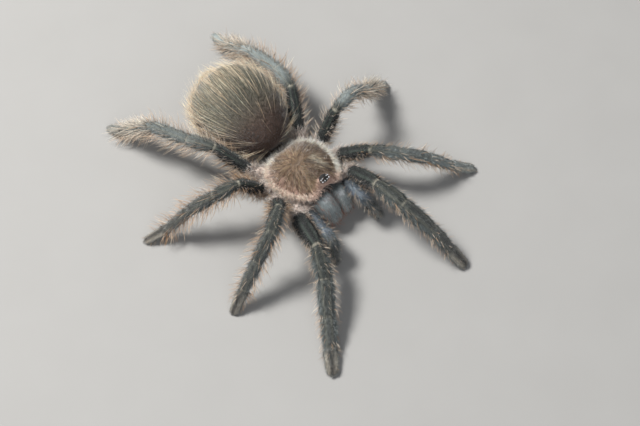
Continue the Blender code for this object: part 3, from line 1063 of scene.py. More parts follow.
@dataclass
class Limb:
    """A leg or a palp: one smooth tube from inside the body to the foot, with its joints, coat and claws.

    Its middle line runs through the middles of the frame's rings, and its girth is theirs less the coat.

    Attributes:
        prefix: the start of its nodes' names.
        segments: the names of its segments, from the hip out.
        root: the inner end of its coxa in the body's frame.
        hip_radius: the girth of its coxa.
        cell: its place on the atlas.
        look: how its coat differs.
        claw_count: how many claws its foot has.
        coat: its depth.
        step, smoothing: between two rows of its skin, and the reach by which they are rounded.
        joint_pinch, joint_reach: how much thinner it is at a joint, and how far along.
        columns: how many points are round it.
        hip_dip: how far its root lies below the hip.
        claw_ring: the row, from the end, whose half width sets the claws apart.
        tip: the foot's end, directions and that half width, once the skin is made.
    """

    prefix: str
    segments: tuple[str, ...]
    root: Array
    hip_radius: float
    cell: Cell
    look: LimbLook
    claw_count: int = 2
    coat: float = 0.16 * MM
    step: float = 0.3 * MM
    smoothing: float = 0.55 * MM
    joint_pinch: float = 0.09
    joint_reach: float = 0.55 * MM
    columns: int = 32
    hip_dip: float = 1.5 * MM
    claw_ring: int = 8
    tip: tuple[Array, ...] = field(init=False, default=())

    def nodes(self) -> list[str]:
        """The names of its nodes in the frame."""
        return [f"{self.prefix}_{segment}" for segment in self.segments]

    def stations(self) -> tuple[Array, Array, Array, Array]:
        """Its rings in one row from the coxa's root to the tip of the foot.

        Returns:
            Their centres, half widths, half heights, and the walk: the number of the segment that they lie
            in, counted from the coxa, with the share of it that lies behind them.
        """
        centres, widths, heights, walk = [], [], [], []
        before = self.root
        for index, node in enumerate(self.nodes()):
            last = index == len(self.segments) - 1
            rings = read_rings(node, before, FOOT_RINGS if last else SEGMENT_RINGS)
            row = list(zip(rings.centres, rings.half_widths, rings.half_heights))
            if index == 0:
                hip = rings.centres[0]
                root = np.array([self.root[0], self.root[1], hip[2] - self.hip_dip])
                coxa = ((0.0, 0.8), (0.5, 1.0), (0.8, 1.0))
                for place, (share, girth) in enumerate(coxa):
                    radius = self.hip_radius * girth
                    row.insert(place, (mix(root, hip, share), radius, radius))
                walk += [share for share, _ in coxa] + list(1 + np.linspace(0, 1, SEGMENT_RINGS))
            else:
                joint = row.pop(0)
                centres[-1] = (centres[-1] + joint[0]) / 2
                widths[-1] = (widths[-1] + joint[1]) / 2
                heights[-1] = (heights[-1] + joint[2]) / 2
                if not last:
                    walk += list(index + 1 + np.linspace(0, 1, SEGMENT_RINGS))[1:]
            if last:
                way = unit(rings.centres[-1] - rings.centres[0])
                end = rings.centres[0] + way * ((corners(node) - rings.centres[0]) @ way).max()
                for share, girth in ((0.6, 0.97), (1.0, 0.78)):
                    row.append((mix(rings.centres[-1], end, share), row[-1][1] * girth, row[-1][2] * girth))
                full = np.linalg.norm(end - rings.centres[0])
                walk += [index + 1 + np.linalg.norm(place[0] - rings.centres[0]) / full for place in row]
            centres += [place[0] for place in row]
            widths += [place[1] for place in row]
            heights += [place[2] for place in row]
            before = rings.centres[-1]
        return np.array(centres), np.array(widths), np.array(heights), np.array(walk)

    def shell(self) -> Shell:
        """Its skin: ovals across the smoothed middle line, pinched at the joints and rounded at the foot.

        Returns:
            The shell, with the walk as a field.
        """
        centres, widths, heights, walk = self.stations()
        spans = np.linalg.norm(np.diff(centres, axis=0), axis=1)
        reach = np.concatenate([[0], np.cumsum(spans)])
        count = int(reach[-1] / self.step)
        along = np.linspace(0, reach[-1], count)
        step = along[1]
        line = np.stack([np.interp(along, reach, centres[:, k]) for k in range(3)], axis=-1)
        line = soften(line, self.smoothing, step, True)
        walked = np.interp(along, reach, walk)
        joints = np.interp(np.arange(1, len(self.segments) + 1), walk, reach)
        pinch = 1 - self.joint_pinch * sum(bump(along, joint, self.joint_reach) for joint in joints)
        foot = cap(along / reach[-1], 0.01, 1 - 1.0 * MM / reach[-1])
        girths = []
        for values in (widths, heights):
            girth = soften(np.interp(along, reach, values), self.smoothing, step, False)
            girths.append(np.maximum(girth - self.coat, 0.3 * MM) * pinch * foot)
        tangent = unit(np.gradient(line, axis=0))
        across, upper = tube_frame(tangent)
        angle = loop_angles(self.columns)[..., None]
        points = (
            line[:, None]
            + across[:, None] * girths[0][:, None, None] * np.sin(angle)
            + upper[:, None] * girths[1][:, None, None] * np.cos(angle)
        )
        points[..., 2] = np.maximum(points[..., 2], FLOOR_CLEARANCE)
        walk_grid = np.repeat(walked[:, None], self.columns, axis=1)
        made = Shell(
            points,
            (line[0] - tangent[0] * 0.1 * MM, line[-1] + tangent[-1] * 0.05 * MM),
            self.cell,
            fields={"walk": walk_grid},
        )
        made.tint = self.paint(walk_grid, np.arange(self.columns) / self.columns)
        self.tip = (line[-1], tangent[-1], across[-1], upper[-1], girths[0][-self.claw_ring])
        return made

    def paint(self, walk: Array, turn: Array) -> Array:
        """Its colours: one for each segment, paler stripes along the upper side, pale rings at joints, a
        painted sheen on the upper sides, and outer segments whose paleness is partly painted light.

        Args:
            walk: the segment's number and the share of it, from the coxa out.
            turn: the share of the way round from the upper side.

        Returns:
            Linear colours.
        """
        walk, turn = np.broadcast_arrays(walk, turn)
        if len(self.segments) == 5:
            marks = (0.0, 1.0, 1.15, 1.9, 2.1, 3.0, 4.0, 5.0, 6.0)
            outer = (Dye.KNEE, Dye.KNEE, Dye.SHIN, Dye.ANKLE, Dye.FOOT)
            dyes = (Dye.WOOL, Dye.WOOL, Dye.FEMUR, Dye.FEMUR, *outer)
        else:
            marks = (0.0, 1.0, 1.15, 1.9, 2.1, 3.4, 5.0)
            dyes = (Dye.WOOL, Dye.WOOL, Dye.FEMUR, Dye.PALP, Dye.PALP, Dye.KNEE, Dye.KNEE)
        table = np.stack([colour.linear for colour in dyes])
        base = np.stack([np.interp(walk, marks, table[:, k]) for k in range(3)], axis=-1)
        pale = self.look.outer_pale
        side = off_top(turn) * math.tau
        stripes = bump(side, 0.5, 0.14) * rise(walk, 1.2, 1.6) * (1 - rise(walk, 4.8, 5.2))
        thigh = 1 - rise(walk, 1.9, 2.05)
        foot = rise(walk, len(self.segments), len(self.segments) + 0.3)
        washes = [
            # paler outer segments: their own blue grey, stronger on some legs than others as painted light
            (Dye.FROST, pale * 0.75 * rise(walk, 2.1, 3.3 - 0.8 * pale)),
            (Dye.FROST.linear * (1.0 + 0.5 * pale), pale * 0.8 * rise(walk, 3.4, 4.6)),
            (Dye.FEMUR_STRIPE, stripes * thigh * 0.45),
            (Dye.STRIPE, stripes * (1 - thigh) * 0.5),
            # painted sheen: the upper sides paler, as velvet looks where it is seen edge-on
            (Dye.FROST, self.look.frosted * bump(side, 1.25, 0.42) * rise(walk, 1.9, 2.6)),
            (Dye.FOOT_PALE, foot * bump(side, 1.0, 0.45) * 0.8),
            (Dye.FEMUR, foot * bump(side, 0.0, 0.34) * (0.7 - 0.6 * pale)),
        ]
        for joint in range(2, len(self.segments) + 1):
            ring = bump(walk, joint - 0.02, 0.024)
            washes.append((Dye.RING, ring * RING_PALENESS[joint] * (side < 2.2)))
            washes.append((Dye.FEMUR, bump(walk, joint + 0.05, 0.03) * 0.6))
        washes.append((Dye.BELLY, 0.5 * rise(side, 1.9, 2.8)))
        return washed(base, *washes)

    def grow(self, coat: Coat, shell: Shell) -> None:
        """Grows its velvet, its bristles, the brush near the foot and the wool at the hip.

        Args:
            coat: where the hairs go.
            shell: its skin.
        """
        rng, walk = coat.rng, shell.fields["walk"]
        piece = f"coat_{self.prefix}"
        bare = 1 - 0.85 * sum(bump(walk, joint, 0.03) for joint in range(2, len(self.segments) + 1))
        outside = rise(walk, 0.7, 0.95)
        down = shell.roots(0.22 * MM, outside * bare, rng)
        tint = self.paint(down.fields["walk"], down.turn)
        lean = 24 * self.look.shaggy
        velvet = Hair((0.6 * MM, 1.0 * MM), (lean, lean * 0.6), 7, 8, 0.11 * MM, 1, 0.26)
        coat.grow(piece, down, velvet, (tint * 0.7, tint * 1.5), scale=self.look.shaggy)
        self._grow_frost(coat, shell, piece, outside * bare)
        self._grow_bristles(coat, shell, piece, outside)
        self._grow_brush(coat, shell, piece)
        hip = shell.roots(0.3 * MM, rise(walk, 0.35, 0.6) * (1 - rise(walk, 1.05, 1.3)), rng)
        wool = Hair((1.2 * MM, 2.8 * MM), (52, 0), 18, 34, 0.13 * MM, 3, 0.4)
        coat.grow(piece, hip, wool, (Dye.WOOL.linear * 0.45, Dye.WOOL.linear * 1.35))

    def _grow_frost(self, coat: Coat, shell: Shell, piece: str, outside: Array) -> None:
        """Grows the fine pale down that stands off both sides and frosts their outline.

        Args:
            coat: where the hairs go.
            shell: its skin.
            piece: their piece.
            outside: how closely hair may stand at each place, from 0 to 1.
        """
        side = off_top(np.arange(self.columns) / self.columns) * math.tau
        beside = 0.03 + 0.97 * bump(side, 1.5, 0.55)
        roots = shell.roots(0.27 * MM, outside * beside[None], coat.rng)
        walked = roots.fields["walk"]
        tint = self.paint(walked, roots.turn)
        # the down's tips are paler by the leg's painted side sheen
        pale = 0.25 + 0.5 * self.look.frosted + 0.2 * rise(walked, 2.0, 3.5)
        tip = blend(tint * 1.2, Dye.FROST.linear * 1.25, pale * rise(walked, 1.6, 2.1))
        down = Hair((1.0 * MM, 1.9 * MM), (38, 20), 9, 12, 0.085 * MM, 2, 0.25)
        coat.grow(piece, roots, down, (tint, tip), scale=mix(1.0, 0.7, rise(walked, 4.0, 5.5)))

    def _grow_bristles(self, coat: Coat, shell: Shell, piece: str, outside: Array) -> None:
        """Grows the long bristles, which stand out from both sides and bend a little towards the foot.

        Args:
            coat: where the hairs go.
            shell: its skin.
            piece: their piece.
            outside: how closely hair may stand at each place, from 0 to 1.
        """
        walk, look = shell.fields["walk"], self.look
        foot = len(self.segments)
        side = off_top(np.arange(self.columns) / self.columns) * math.tau
        beside = 0.06 + bump(side, 1.75, 0.62)
        thin = 1 - 0.75 * rise(walk, foot + 0.1, foot + 0.6)
        roots = shell.roots(0.46 * MM, outside * thin * look.bristles * beside[None], coat.rng)
        walked = roots.fields["walk"]
        dark, pale = Dye.BRISTLE.linear, Dye.BRISTLE_PALE.linear
        share = np.clip(look.bristle_pale + 0.25 * coat.rng.normal(size=len(walked)), 0, 1)
        tip = blend(dark, pale, share)
        root = blend(Dye.BRISTLE_ROOT.linear, pale * 0.55, share)
        reach = look.bristle_reach * (0.7 + 0.3 * bump(walked, foot - 1.4, 1.5))
        reach = reach * (1 - 0.55 * rise(walked, foot, foot + 0.8))
        width = mix(0.09, 0.14, look.bristle_reach) * MM
        long = Hair((2.2 * MM, 5.0 * MM), (66, 30), 12, 12, width, 4, 0.3)
        coat.grow(piece, roots, long, (root, tip), scale=reach)

    def _grow_brush(self, coat: Coat, shell: Shell, piece: str) -> None:
        """Grows the thick pale brush of the metatarsus, where the limb has one.

        Args:
            coat: where the hairs go.
            shell: its skin.
            piece: their piece.
        """
        if self.look.brush == 0:
            return
        walk = shell.fields["walk"]
        roots = shell.roots(0.34 * MM, self.look.brush * bump(walk, 4.6, 0.5), coat.rng)
        brush = Hair((2.4 * MM, 4.6 * MM), (50, 18), 11, 12, 0.13 * MM, 3, 0.3)
        pale = Dye.BRISTLE_PALE.linear
        coat.grow(piece, roots, brush, (Dye.FOOT_PALE.linear * 0.8, pale))

    def claws(self, draft: Draft) -> None:
        """Adds its claws: small hooks that leave the tip of the foot and bend down to a point.

        Args:
            draft: where their mesh goes.
        """
        tip, tangent, across, upper, girth = self.tip
        share = np.linspace(0, 1, 9)
        for index in range(self.claw_count):
            out = (index - (self.claw_count - 1) / 2) * 0.5
            reach = share * 0.75 * MM
            line = (
                tip
                - tangent * 0.35 * MM
                + across * (out * girth)
                + tangent * (reach - 0.25 * MM * share**2)[:, None]
                + upper * (0.22 * MM * share - 0.5 * MM * share**2)[:, None]
            )
            line[:, 2] = np.maximum(line[:, 2], CLAW_CLEARANCE)
            radius = 0.11 * MM * (1 - share) ** 0.8 + 0.008 * MM
            angle = loop_angles(8)[..., None]
            points = line[:, None] + (across * np.sin(angle) + upper * np.cos(angle)) * radius[:, None, None]
            shell = Shell(points, (line[0], line[-1]), self.cell, tint=np.zeros(3))
            draft.add_shell(shell)


# ------------------------------
# The body


@dataclass(frozen=True)
class Shield:
    """The carapace: an oval shield with a low dome, the raised head, the fovea and the grooves between them.

    Attributes:
        front, back, wide: the y of its front, its back and its widest place.
        width: from side to side.
        front_blunt, back_blunt: the powers of the rounded outline.
        taper, taper_run: how much narrower it is at the front, and how late that sets in.
        base: the height of its flat underside.
        rim: the height of its edge.
        dome, flatness, shoulder: the height and the shape of the dome.
        head_rise, head_half_width, head_run: the raised head.
        fovea, fovea_depth, fovea_half: the y, depth and half sizes of the dimple.
        groove_depth: of the grooves that part the head from the rest.
        ray_depth: of the grooves that run out to the hips.
        arch, arch_half, arch_right: how far the front edge arches up and back over the jaws, its half width,
            and how far to the right its middle lies.
        coat: the depth of its coat.
    """

    front: float = -8.9 * MM
    back: float = 8.3 * MM
    wide: float = 0.6 * MM
    width: float = 15.6 * MM
    front_blunt: float = 3.0
    back_blunt: float = 2.5
    taper: float = 0.28
    taper_run: float = 1.4
    base: float = 9.2 * MM
    rim: float = 0.9 * MM
    dome: float = 2.7 * MM
    flatness: float = 2.6
    shoulder: float = 0.75
    head_rise: float = 2.1 * MM
    head_half_width: float = 3.47 * MM
    head_run: float = 7.0 * MM
    fovea: float = 1.7 * MM
    fovea_depth: float = 0.9 * MM
    fovea_half: Pair = (1.7 * MM, 0.9 * MM)
    groove_depth: float = 0.28 * MM
    ray_depth: float = 0.12 * MM
    arch: Pair = (1.6 * MM, 0.6 * MM)
    arch_half: float = 3.0 * MM
    arch_right: float = 0.7 * MM
    coat: float = 0.2 * MM
    columns: int = 144

    def outline(self, angle: Array) -> tuple[Array, Array]:
        """The edge seen from above: a superellipse, blunt at the front, that narrows towards it.

        Args:
            angle: 0 at its left, a quarter turn at its back.

        Returns:
            The x and y of the edge, as seen from its widest place.
        """
        across, run = np.cos(angle), np.sin(angle)
        blunt = np.where(run > 0, self.back_blunt, self.front_blunt)
        x = np.sign(across) * np.abs(across) ** (2 / blunt)
        y = np.sign(run) * np.abs(run) ** (2 / blunt)
        reach = np.where(run > 0, self.back - self.wide, self.wide - self.front)
        half = self.width / 2 * (1 - self.taper * np.maximum(0, -y) ** self.taper_run)
        return half * x, reach * y

    def groove(self, x: Array, y: Array) -> Array:
        """How near a place is to the head's grooves, which bow out from the fovea, from 0 to 1."""
        run = np.clip((self.fovea - y) / (self.fovea - self.front), 0, 1)
        out = 4.5 * MM * run**0.8
        near = np.exp(-(((np.abs(x) - out) / (0.42 * MM)) ** 2))
        return near * rise(run, 0.06, 0.16) * (1 - rise(run, 0.8, 0.98))

    def rays(self, x: Array, y: Array, share: Array) -> Array:
        """How near a place is to the grooves that run out from the fovea to the hips, from 0 to 1."""
        angle = np.arctan2(y - self.fovea, np.abs(x))
        near = sum(np.exp(-(((angle - centre) / 0.085) ** 2)) for centre in (-0.62, -0.12, 0.42, 0.98))
        away = np.hypot(x, y - self.fovea)
        return near * rise(away, 1.2 * MM, 3.0 * MM) * (1 - rise(share, 0.78, 0.93))

    def height(self, x: Array, y: Array, share: Array) -> Array:
        """The height over the base: rim, dome and raised head, less the fovea and the grooves.

        Args:
            x: of the places.
            y: of the places.
            share: how far out towards the edge they lie.

        Returns:
            Their heights.
        """
        dome = self.dome * (1 - np.minimum(share, 1) ** self.flatness) ** self.shoulder
        front = np.clip((self.fovea - y) / self.head_run, 0, 1)
        head = self.head_rise * front * np.exp(-((x / self.head_half_width) ** 2))
        half_width, half_length = self.fovea_half
        dimple = self.fovea_depth * np.exp(-((x / half_width) ** 2) - ((y - self.fovea) / half_length) ** 2)
        cut = self.groove_depth * self.groove(x, y) + self.ray_depth * self.rays(x, y, share)
        return self.rim + dome + (head - dimple - cut) * (1 - share**16)

    def shell(self, poise: Poise, cell: Cell) -> Shell:
        """Its skin, from the middle of its underside over the rim to the crown.

        Args:
            poise: how the forepart is held.
            cell: its place on the atlas.

        Returns:
            The shell, with how far out each place lies and its own x and y as fields.
        """
        under = [(share, 0.0) for share in (0.05, 0.3, 0.6, 0.85, 0.92)]
        edge = [(0.955, 0.06), (0.98, 0.2), (0.994, 0.4), (1.0, 0.6), (0.998, 0.8), (0.99, 0.97)]
        shares = np.cos(np.linspace(0.17, math.pi / 2 - 0.02, 58))
        angle = loop_angles(self.columns)
        x_edge, y_edge = self.outline(angle)
        rows_low = np.array(under + edge)
        share = np.concatenate([rows_low[:, 0], shares])[:, None]
        x, y = x_edge * share, self.wide + y_edge * share
        low = rows_low[:, 1:] * self.rim * np.ones_like(x[: len(rows_low)])
        high = self.height(x[len(rows_low) :], y[len(rows_low) :], share[len(rows_low) :])
        arched = bump(x, -self.arch_right, self.arch_half) * rise(self.wide - y, 6.0 * MM, 9.2 * MM)
        z = self.base + np.concatenate([low, high]) + self.arch[0] * arched * rise(share, 0.6, 0.97)
        points = np.stack([x, y + self.arch[1] * arched, z], axis=-1)
        peak = self.height(np.zeros(1), np.full(1, self.wide), np.zeros(1))[0]
        top = np.array([0, self.wide, self.base + peak])
        share_grid = np.repeat(share, self.columns, axis=1)
        raised = np.concatenate([np.zeros(len(rows_low)), np.ones(len(shares))])[:, None] * np.ones_like(x)
        made = Shell(
            poise.forepart(points),
            (poise.forepart(np.array([0, self.wide, self.base])), poise.forepart(top)),
            cell,
            fields={"share": share_grid, "x": x, "y": y, "raised": raised},
        )
        made.tint = self.paint(x, y, share_grid)
        sunk(made, self.coat * raised)
        made.poles = (made.poles[0], made.points[-1].mean(axis=0))
        return made

    def paint(self, x: Array, y: Array, share: Array) -> Array:
        """Its colours: golden rays on brown, a darker head, cream to the left and rose to the right, a
        painted highlight along the head's left ridge, and painted shade in the fovea and the grooves.

        Args:
            x: of the places, to the animal's left.
            y: of the places, backwards.
            share: how far out towards the edge they lie.

        Returns:
            Linear colours.
        """
        angle = np.arctan2(y - self.fovea, x)
        rays = 0.5 + 0.5 * np.sin(angle * 19 + 2.4 * np.sin(angle * 5))
        fine = 0.5 + 0.5 * np.sin(angle * 63 + 3 * np.sin(angle * 9))
        base = blend(Dye.SHIELD.linear, Dye.SHIELD_GOLD.linear, 0.12 * rays**2 + 0.3 * fine**2)
        ahead = self.fovea - y
        middle = rise(ahead, 1.5 * MM, 6.0 * MM) * bump(x, 0.0, 2.4 * MM)
        # painted highlight: a golden streak along the head's left ridge only
        left = bump(x, 2.9 * MM, 1.2 * MM) * rise(ahead, 0.3 * MM, 2.0 * MM)
        left = left * (1 - rise(ahead, 5.0 * MM, 7.5 * MM))
        # the fovea's hollow, where painted shade goes
        hollow = np.exp(-((x / (1.2 * MM)) ** 2) - ((y - self.fovea) / (0.4 * MM)) ** 2)
        front = rise(ahead, 8.0 * MM, 9.6 * MM)
        edge = blend(Dye.ROSE.linear, Dye.CREAM.linear, rise(x, -6.5 * MM, -1.0 * MM))
        return washed(
            base,
            (Dye.SHIELD_DARK, 0.5 * middle),
            # the painted highlight along the head's left ridge
            (blend(Dye.CREAM.linear, Dye.SHIELD_GOLD.linear, 0.4), 0.7 * left),
            # painted shade in the head's left groove, the grooves out to the hips, and the fovea
            (Dye.SHIELD_DARK, 0.95 * self.groove(x, y) * rise(x, -2 * MM, 1 * MM)),
            (Dye.SHIELD_DARK, 0.35 * self.rays(x, y, share)),
            (Dye.SHIELD_DARK, 0.75 * hollow),
            (Dye.ROSE, 0.3 * rise(-x, 4.0 * MM, 6.5 * MM)),
            (Dye.ROSE, 0.8 * front * bump(x, 0.0, 5.0 * MM)),
            (Dye.RUST, 0.6 * bump(np.abs(x), 4.6 * MM, 0.9 * MM) * front),
            (edge, rise(share, 0.87, 0.99) * (1 - front)),
        )

    def grow(self, coat: Coat, shell: Shell, poise: Poise) -> None:
        """Grows the short hair that runs out from the fovea, some longer blond hair, and the edge's fringe.

        Args:
            coat: where the hairs go.
            shell: its skin.
            poise: how the forepart is held.
        """
        rng, share = coat.rng, shell.fields["share"]
        centre = poise.forepart(np.array([0, self.fovea, self.base]))
        upper = shell.fields["raised"]
        clypeus = rise(-shell.fields["y"], 7.2 * MM, 8.2 * MM)
        x, y = shell.fields["x"], shell.fields["y"]
        round_eyes = np.exp(-(((x / (1.9 * MM)) ** 2 + ((y - EyeMound.y) / (1.6 * MM)) ** 2) ** 2))
        short = shell.roots(0.21 * MM, upper * (1 - 0.93 * clypeus) * (1 - 0.97 * round_eyes), rng)
        tint = self.paint(short.fields["x"], short.fields["y"], short.fields["share"])
        down = Hair((0.9 * MM, 1.9 * MM), (15, 9), 6, 6, 0.12 * MM, 1, 0.45)
        coat.grow("coat_shield", short, down, (tint * 0.65, tint * 1.7), way=short.place - centre)
        inside = upper * (1 - clypeus) * (1 - round_eyes) * (1 - rise(share, 0.8, 0.95))
        blond = shell.roots(0.5 * MM, inside, rng)
        longer = Hair((1.5 * MM, 2.5 * MM), (17, 6), 6, 8, 0.085 * MM, 2, 0.4)
        tint = self.paint(blond.fields["x"], blond.fields["y"], blond.fields["share"])
        tips = blend(tint * 2.2, Dye.GUARD.linear, 0.4 * rng.random(len(blond.place)))
        coat.grow("coat_shield", blond, longer, (tint * 0.7, tips), way=blond.place - centre)
        rim = upper * rise(share, 0.9, 0.985) + (share > 0.95) * (1 - upper)
        fringe = shell.roots(0.16 * MM, rim * (1 - 0.9 * clypeus), rng)
        side = rise(fringe.fields["x"], -6.5 * MM, -2.0 * MM)
        tip = blend(blend(Dye.ROSE.linear, Dye.CREAM.linear, 0.4), Dye.CREAM.linear, side)
        tip = blend(tip, Dye.ROSE.linear * 0.9, 0.75 * rise(-fringe.fields["y"], 5.5 * MM, 7.5 * MM))
        hair = Hair((1.1 * MM, 2.6 * MM), (36, -6), 14, 22, 0.11 * MM, 3)
        coat.grow("coat_fringe", fringe, hair, (tip, tip * 1.2), way=fringe.place - centre)


@dataclass(frozen=True)
class Underside:
    """The soft flanks under the shield and the plate between the hips.

    Attributes:
        top, depth: how far below the shield's underside it starts and ends.
        flank, plate: the size of its outline above and below, as a share of the shield's.
    """

    top: float = 0.3 * MM
    depth: float = 4.6 * MM
    flank: float = 0.76
    plate: float = 0.50

    def shell(self, shield: Shield, poise: Poise, cell: Cell) -> Shell:
        """Its skin: the shield's outline, drawn in and rounded under towards the plate.

        Args:
            shield: gives the outline.
            poise: how the forepart is held.
            cell: its place on the atlas.

        Returns:
            The shell.
        """
        run = np.linspace(0, 1, 22)
        share = np.where(run < 0.5, self.flank, mix(self.flank, self.plate, rise(run, 0.5, 1.0)))
        drop = mix(self.top, self.depth, run)
        share = np.concatenate([[self.flank * 0.5], share, [self.plate * 0.7, self.plate * 0.3]])
        drop = np.concatenate([[self.top], drop, [self.depth * 1.03, self.depth * 1.05]])
        x_edge, y_edge = shield.outline(loop_angles(64))
        x = x_edge * share[:, None]
        y = shield.wide + y_edge * share[:, None]
        z = shield.base - drop[:, None] * np.ones_like(x)
        ends = [[0, shield.wide, shield.base - drop] for drop in (self.top, self.depth * 1.05)]
        placed = poise.forepart(np.array(ends))
        fields = {"run": np.repeat(np.concatenate([[0], run, [1, 1]])[:, None], x.shape[1], axis=1)}
        grid = poise.forepart(np.stack([x, y, z], axis=-1))
        return Shell(grid, (placed[0], placed[1]), cell, Dye.BELLY.linear, fields)

    def grow(self, coat: Coat, shell: Shell) -> None:
        """Grows short dark hair all over the flanks and the plate, and pale wool under the shield's edge.

        Args:
            coat: where the hairs go.
            shell: its skin.
        """
        roots = shell.roots(0.5 * MM, 1.0, coat.rng)
        hair = Hair((0.9 * MM, 1.7 * MM), (30, 12), 9, 20, 0.12 * MM, 2)
        coat.grow("coat_underside", roots, hair, (Dye.BELLY.linear, Dye.WOOL.linear * 0.6))
        upper = shell.roots(0.32 * MM, 1 - rise(shell.fields["run"], 0.35, 0.6), coat.rng)
        wool = Hair((2.0 * MM, 4.2 * MM), (78, 26), 14, 30, 0.13 * MM, 3, 0.4)
        coat.grow("coat_underside", upper, wool, (Dye.WOOL.linear * 0.4, Dye.WOOL.linear * 1.35), way=-UP)


@dataclass(frozen=True)
class Abdomen:
    """The abdomen: an egg whose blunt end is at the back, with short velvet and long combed hair.

    Attributes:
        length, width, height: out to the tips of the velvet.
        front: the y of its front end.
        centre_z: the height of its middle.
        egg: how far the widest girth lies behind the middle.
        belly: the belly's depth, as a share of the back's.
        point: the power that makes its ends blunt.
        coat: the depth of its coat, at the front and behind.
    """

    length: float = 26.2 * MM
    width: float = 23.0 * MM
    height: float = 18.8 * MM
    front: float = 9.8 * MM
    centre_z: float = 10.9 * MM
    egg: float = 0.12
    belly: float = 0.9
    point: float = 0.92
    coat: Pair = (0.1 * MM, 1.1 * MM)
    rows: int = 84
    columns: int = 96

    def shell(self, poise: Poise, cell: Cell) -> Shell:
        """Its skin: ovals across its length, whose girth is a sine that leans to the back, less the coat.

        Args:
            poise: where the body is.
            cell: its place on the atlas.

        Returns:
            The shell, with how high and how far back each place lies as fields.
        """
        turn = np.linspace(0.05, math.pi - 0.05, self.rows)[:, None]
        girth = np.sin(turn) ** self.point * (1 - self.egg * np.cos(turn))
        angle = loop_angles(self.columns)
        half = self.length / 2
        dimples = sum(
            bump(turn, place, 0.07) * bump(np.abs(((angle + math.pi) % math.tau) - math.pi), 0.28, 0.07)
            for place in (1.05, 1.55)
        )
        swell = 1 - 0.012 * dimples
        x = self.width / 2 * girth * np.sin(angle) * swell
        z = self.height / 2 * girth * np.cos(angle) * swell
        z = self.centre_z + np.where(z > 0, z, z * self.belly)
        y = self.front + half - half * np.cos(turn) * np.ones_like(x)
        points = poise.rear(np.stack([x, y, z], axis=-1))
        middle = np.array([0, self.front + half, self.centre_z])
        ends = [poise.rear(middle + np.array([0, reach, 0])) for reach in (-half, half)]
        fields = {"high": np.cos(angle) * np.ones_like(x), "back": turn / math.pi * np.ones_like(x)}
        made = Shell(points, (ends[0], ends[1]), cell, fields=fields)
        made.tint = self.paint(fields["high"], fields["back"])
        sunk(made, mix(*self.coat, rise(fields["back"], 0.08, 0.4)))
        made.poles = row_middles(made.points)
        return made

    def paint(self, high: Array, back: Array) -> Array:
        """Its colours: purplish brown at the front and below, and olive grey on top towards the back, a
        painted sheen on the velvet.
        """
        # painted sheen: olive grey over the top, towards the back
        top = rise(high, -0.3, 0.7) * rise(back, 0.22, 0.55)
        base = blend(Dye.ABDOMEN.linear, Dye.ABDOMEN_TOP.linear, top)
        return base * (1 - 0.45 * bump(back, 0.47, 0.13) * bump(high, 0.95, 0.3))[..., None]

    def grow(self, coat: Coat, shell: Shell) -> None:
        """Grows the velvet, the long pale hairs that are combed backwards, and the thick fringe round them.

        Args:
            coat: where the hairs go.
            shell: its skin.
        """
        rng = coat.rng
        down = shell.roots(0.25 * MM, 1.0, rng)
        tint = self.paint(down.fields["high"], down.fields["back"])
        reach = mix(0.6, 1.0, rise(down.fields["back"], 0.05, 0.35))
        velvet = Hair((1.0 * MM, 1.9 * MM), (20, 16), 6, 12, 0.13 * MM, 1, 0.36)
        coat.grow("coat_abdomen_velvet", down, velvet, (tint * 0.75, tint * 1.3), scale=reach)
        high, back = shell.fields["high"], shell.fields["back"]
        sparse = 0.035 + 0.44 * rise(back, 0.27, 0.6) + 0.3 * (1 - rise(high, 0.3, 0.8))
        guard = shell.roots(0.62 * MM, sparse, rng)
        pale = rise(rng.random(len(guard.place)), -0.4, 0.6)
        tip = blend(Dye.BRISTLE.linear, Dye.GUARD.linear, pale)
        root = blend(Dye.GUARD_ROOT.linear, tip, 0.7)
        long = Hair((4.5 * MM, 8.0 * MM), (19, 3), 5, 5, 0.082 * MM, 3)
        coat.grow("coat_abdomen_guard", guard, long, (root, tip))
        below = np.clip(1 - rise(high, -0.1, 0.45) + rise(back, 0.84, 0.94), 0, 1) * rise(back, 0.1, 0.3)
        fringe = shell.roots(0.66 * MM, below, rng)
        pale = rise(rng.random(len(fringe.place)), -0.3, 0.8)
        tip = blend(Dye.GOLD.linear, Dye.GUARD.linear, pale)
        thick = Hair((2.8 * MM, 5.6 * MM), (38, 2), 11, 16, 0.12 * MM, 4, 0.35)
        coat.grow("coat_abdomen_fringe", fringe, thick, (Dye.GUARD_ROOT.linear, tip))


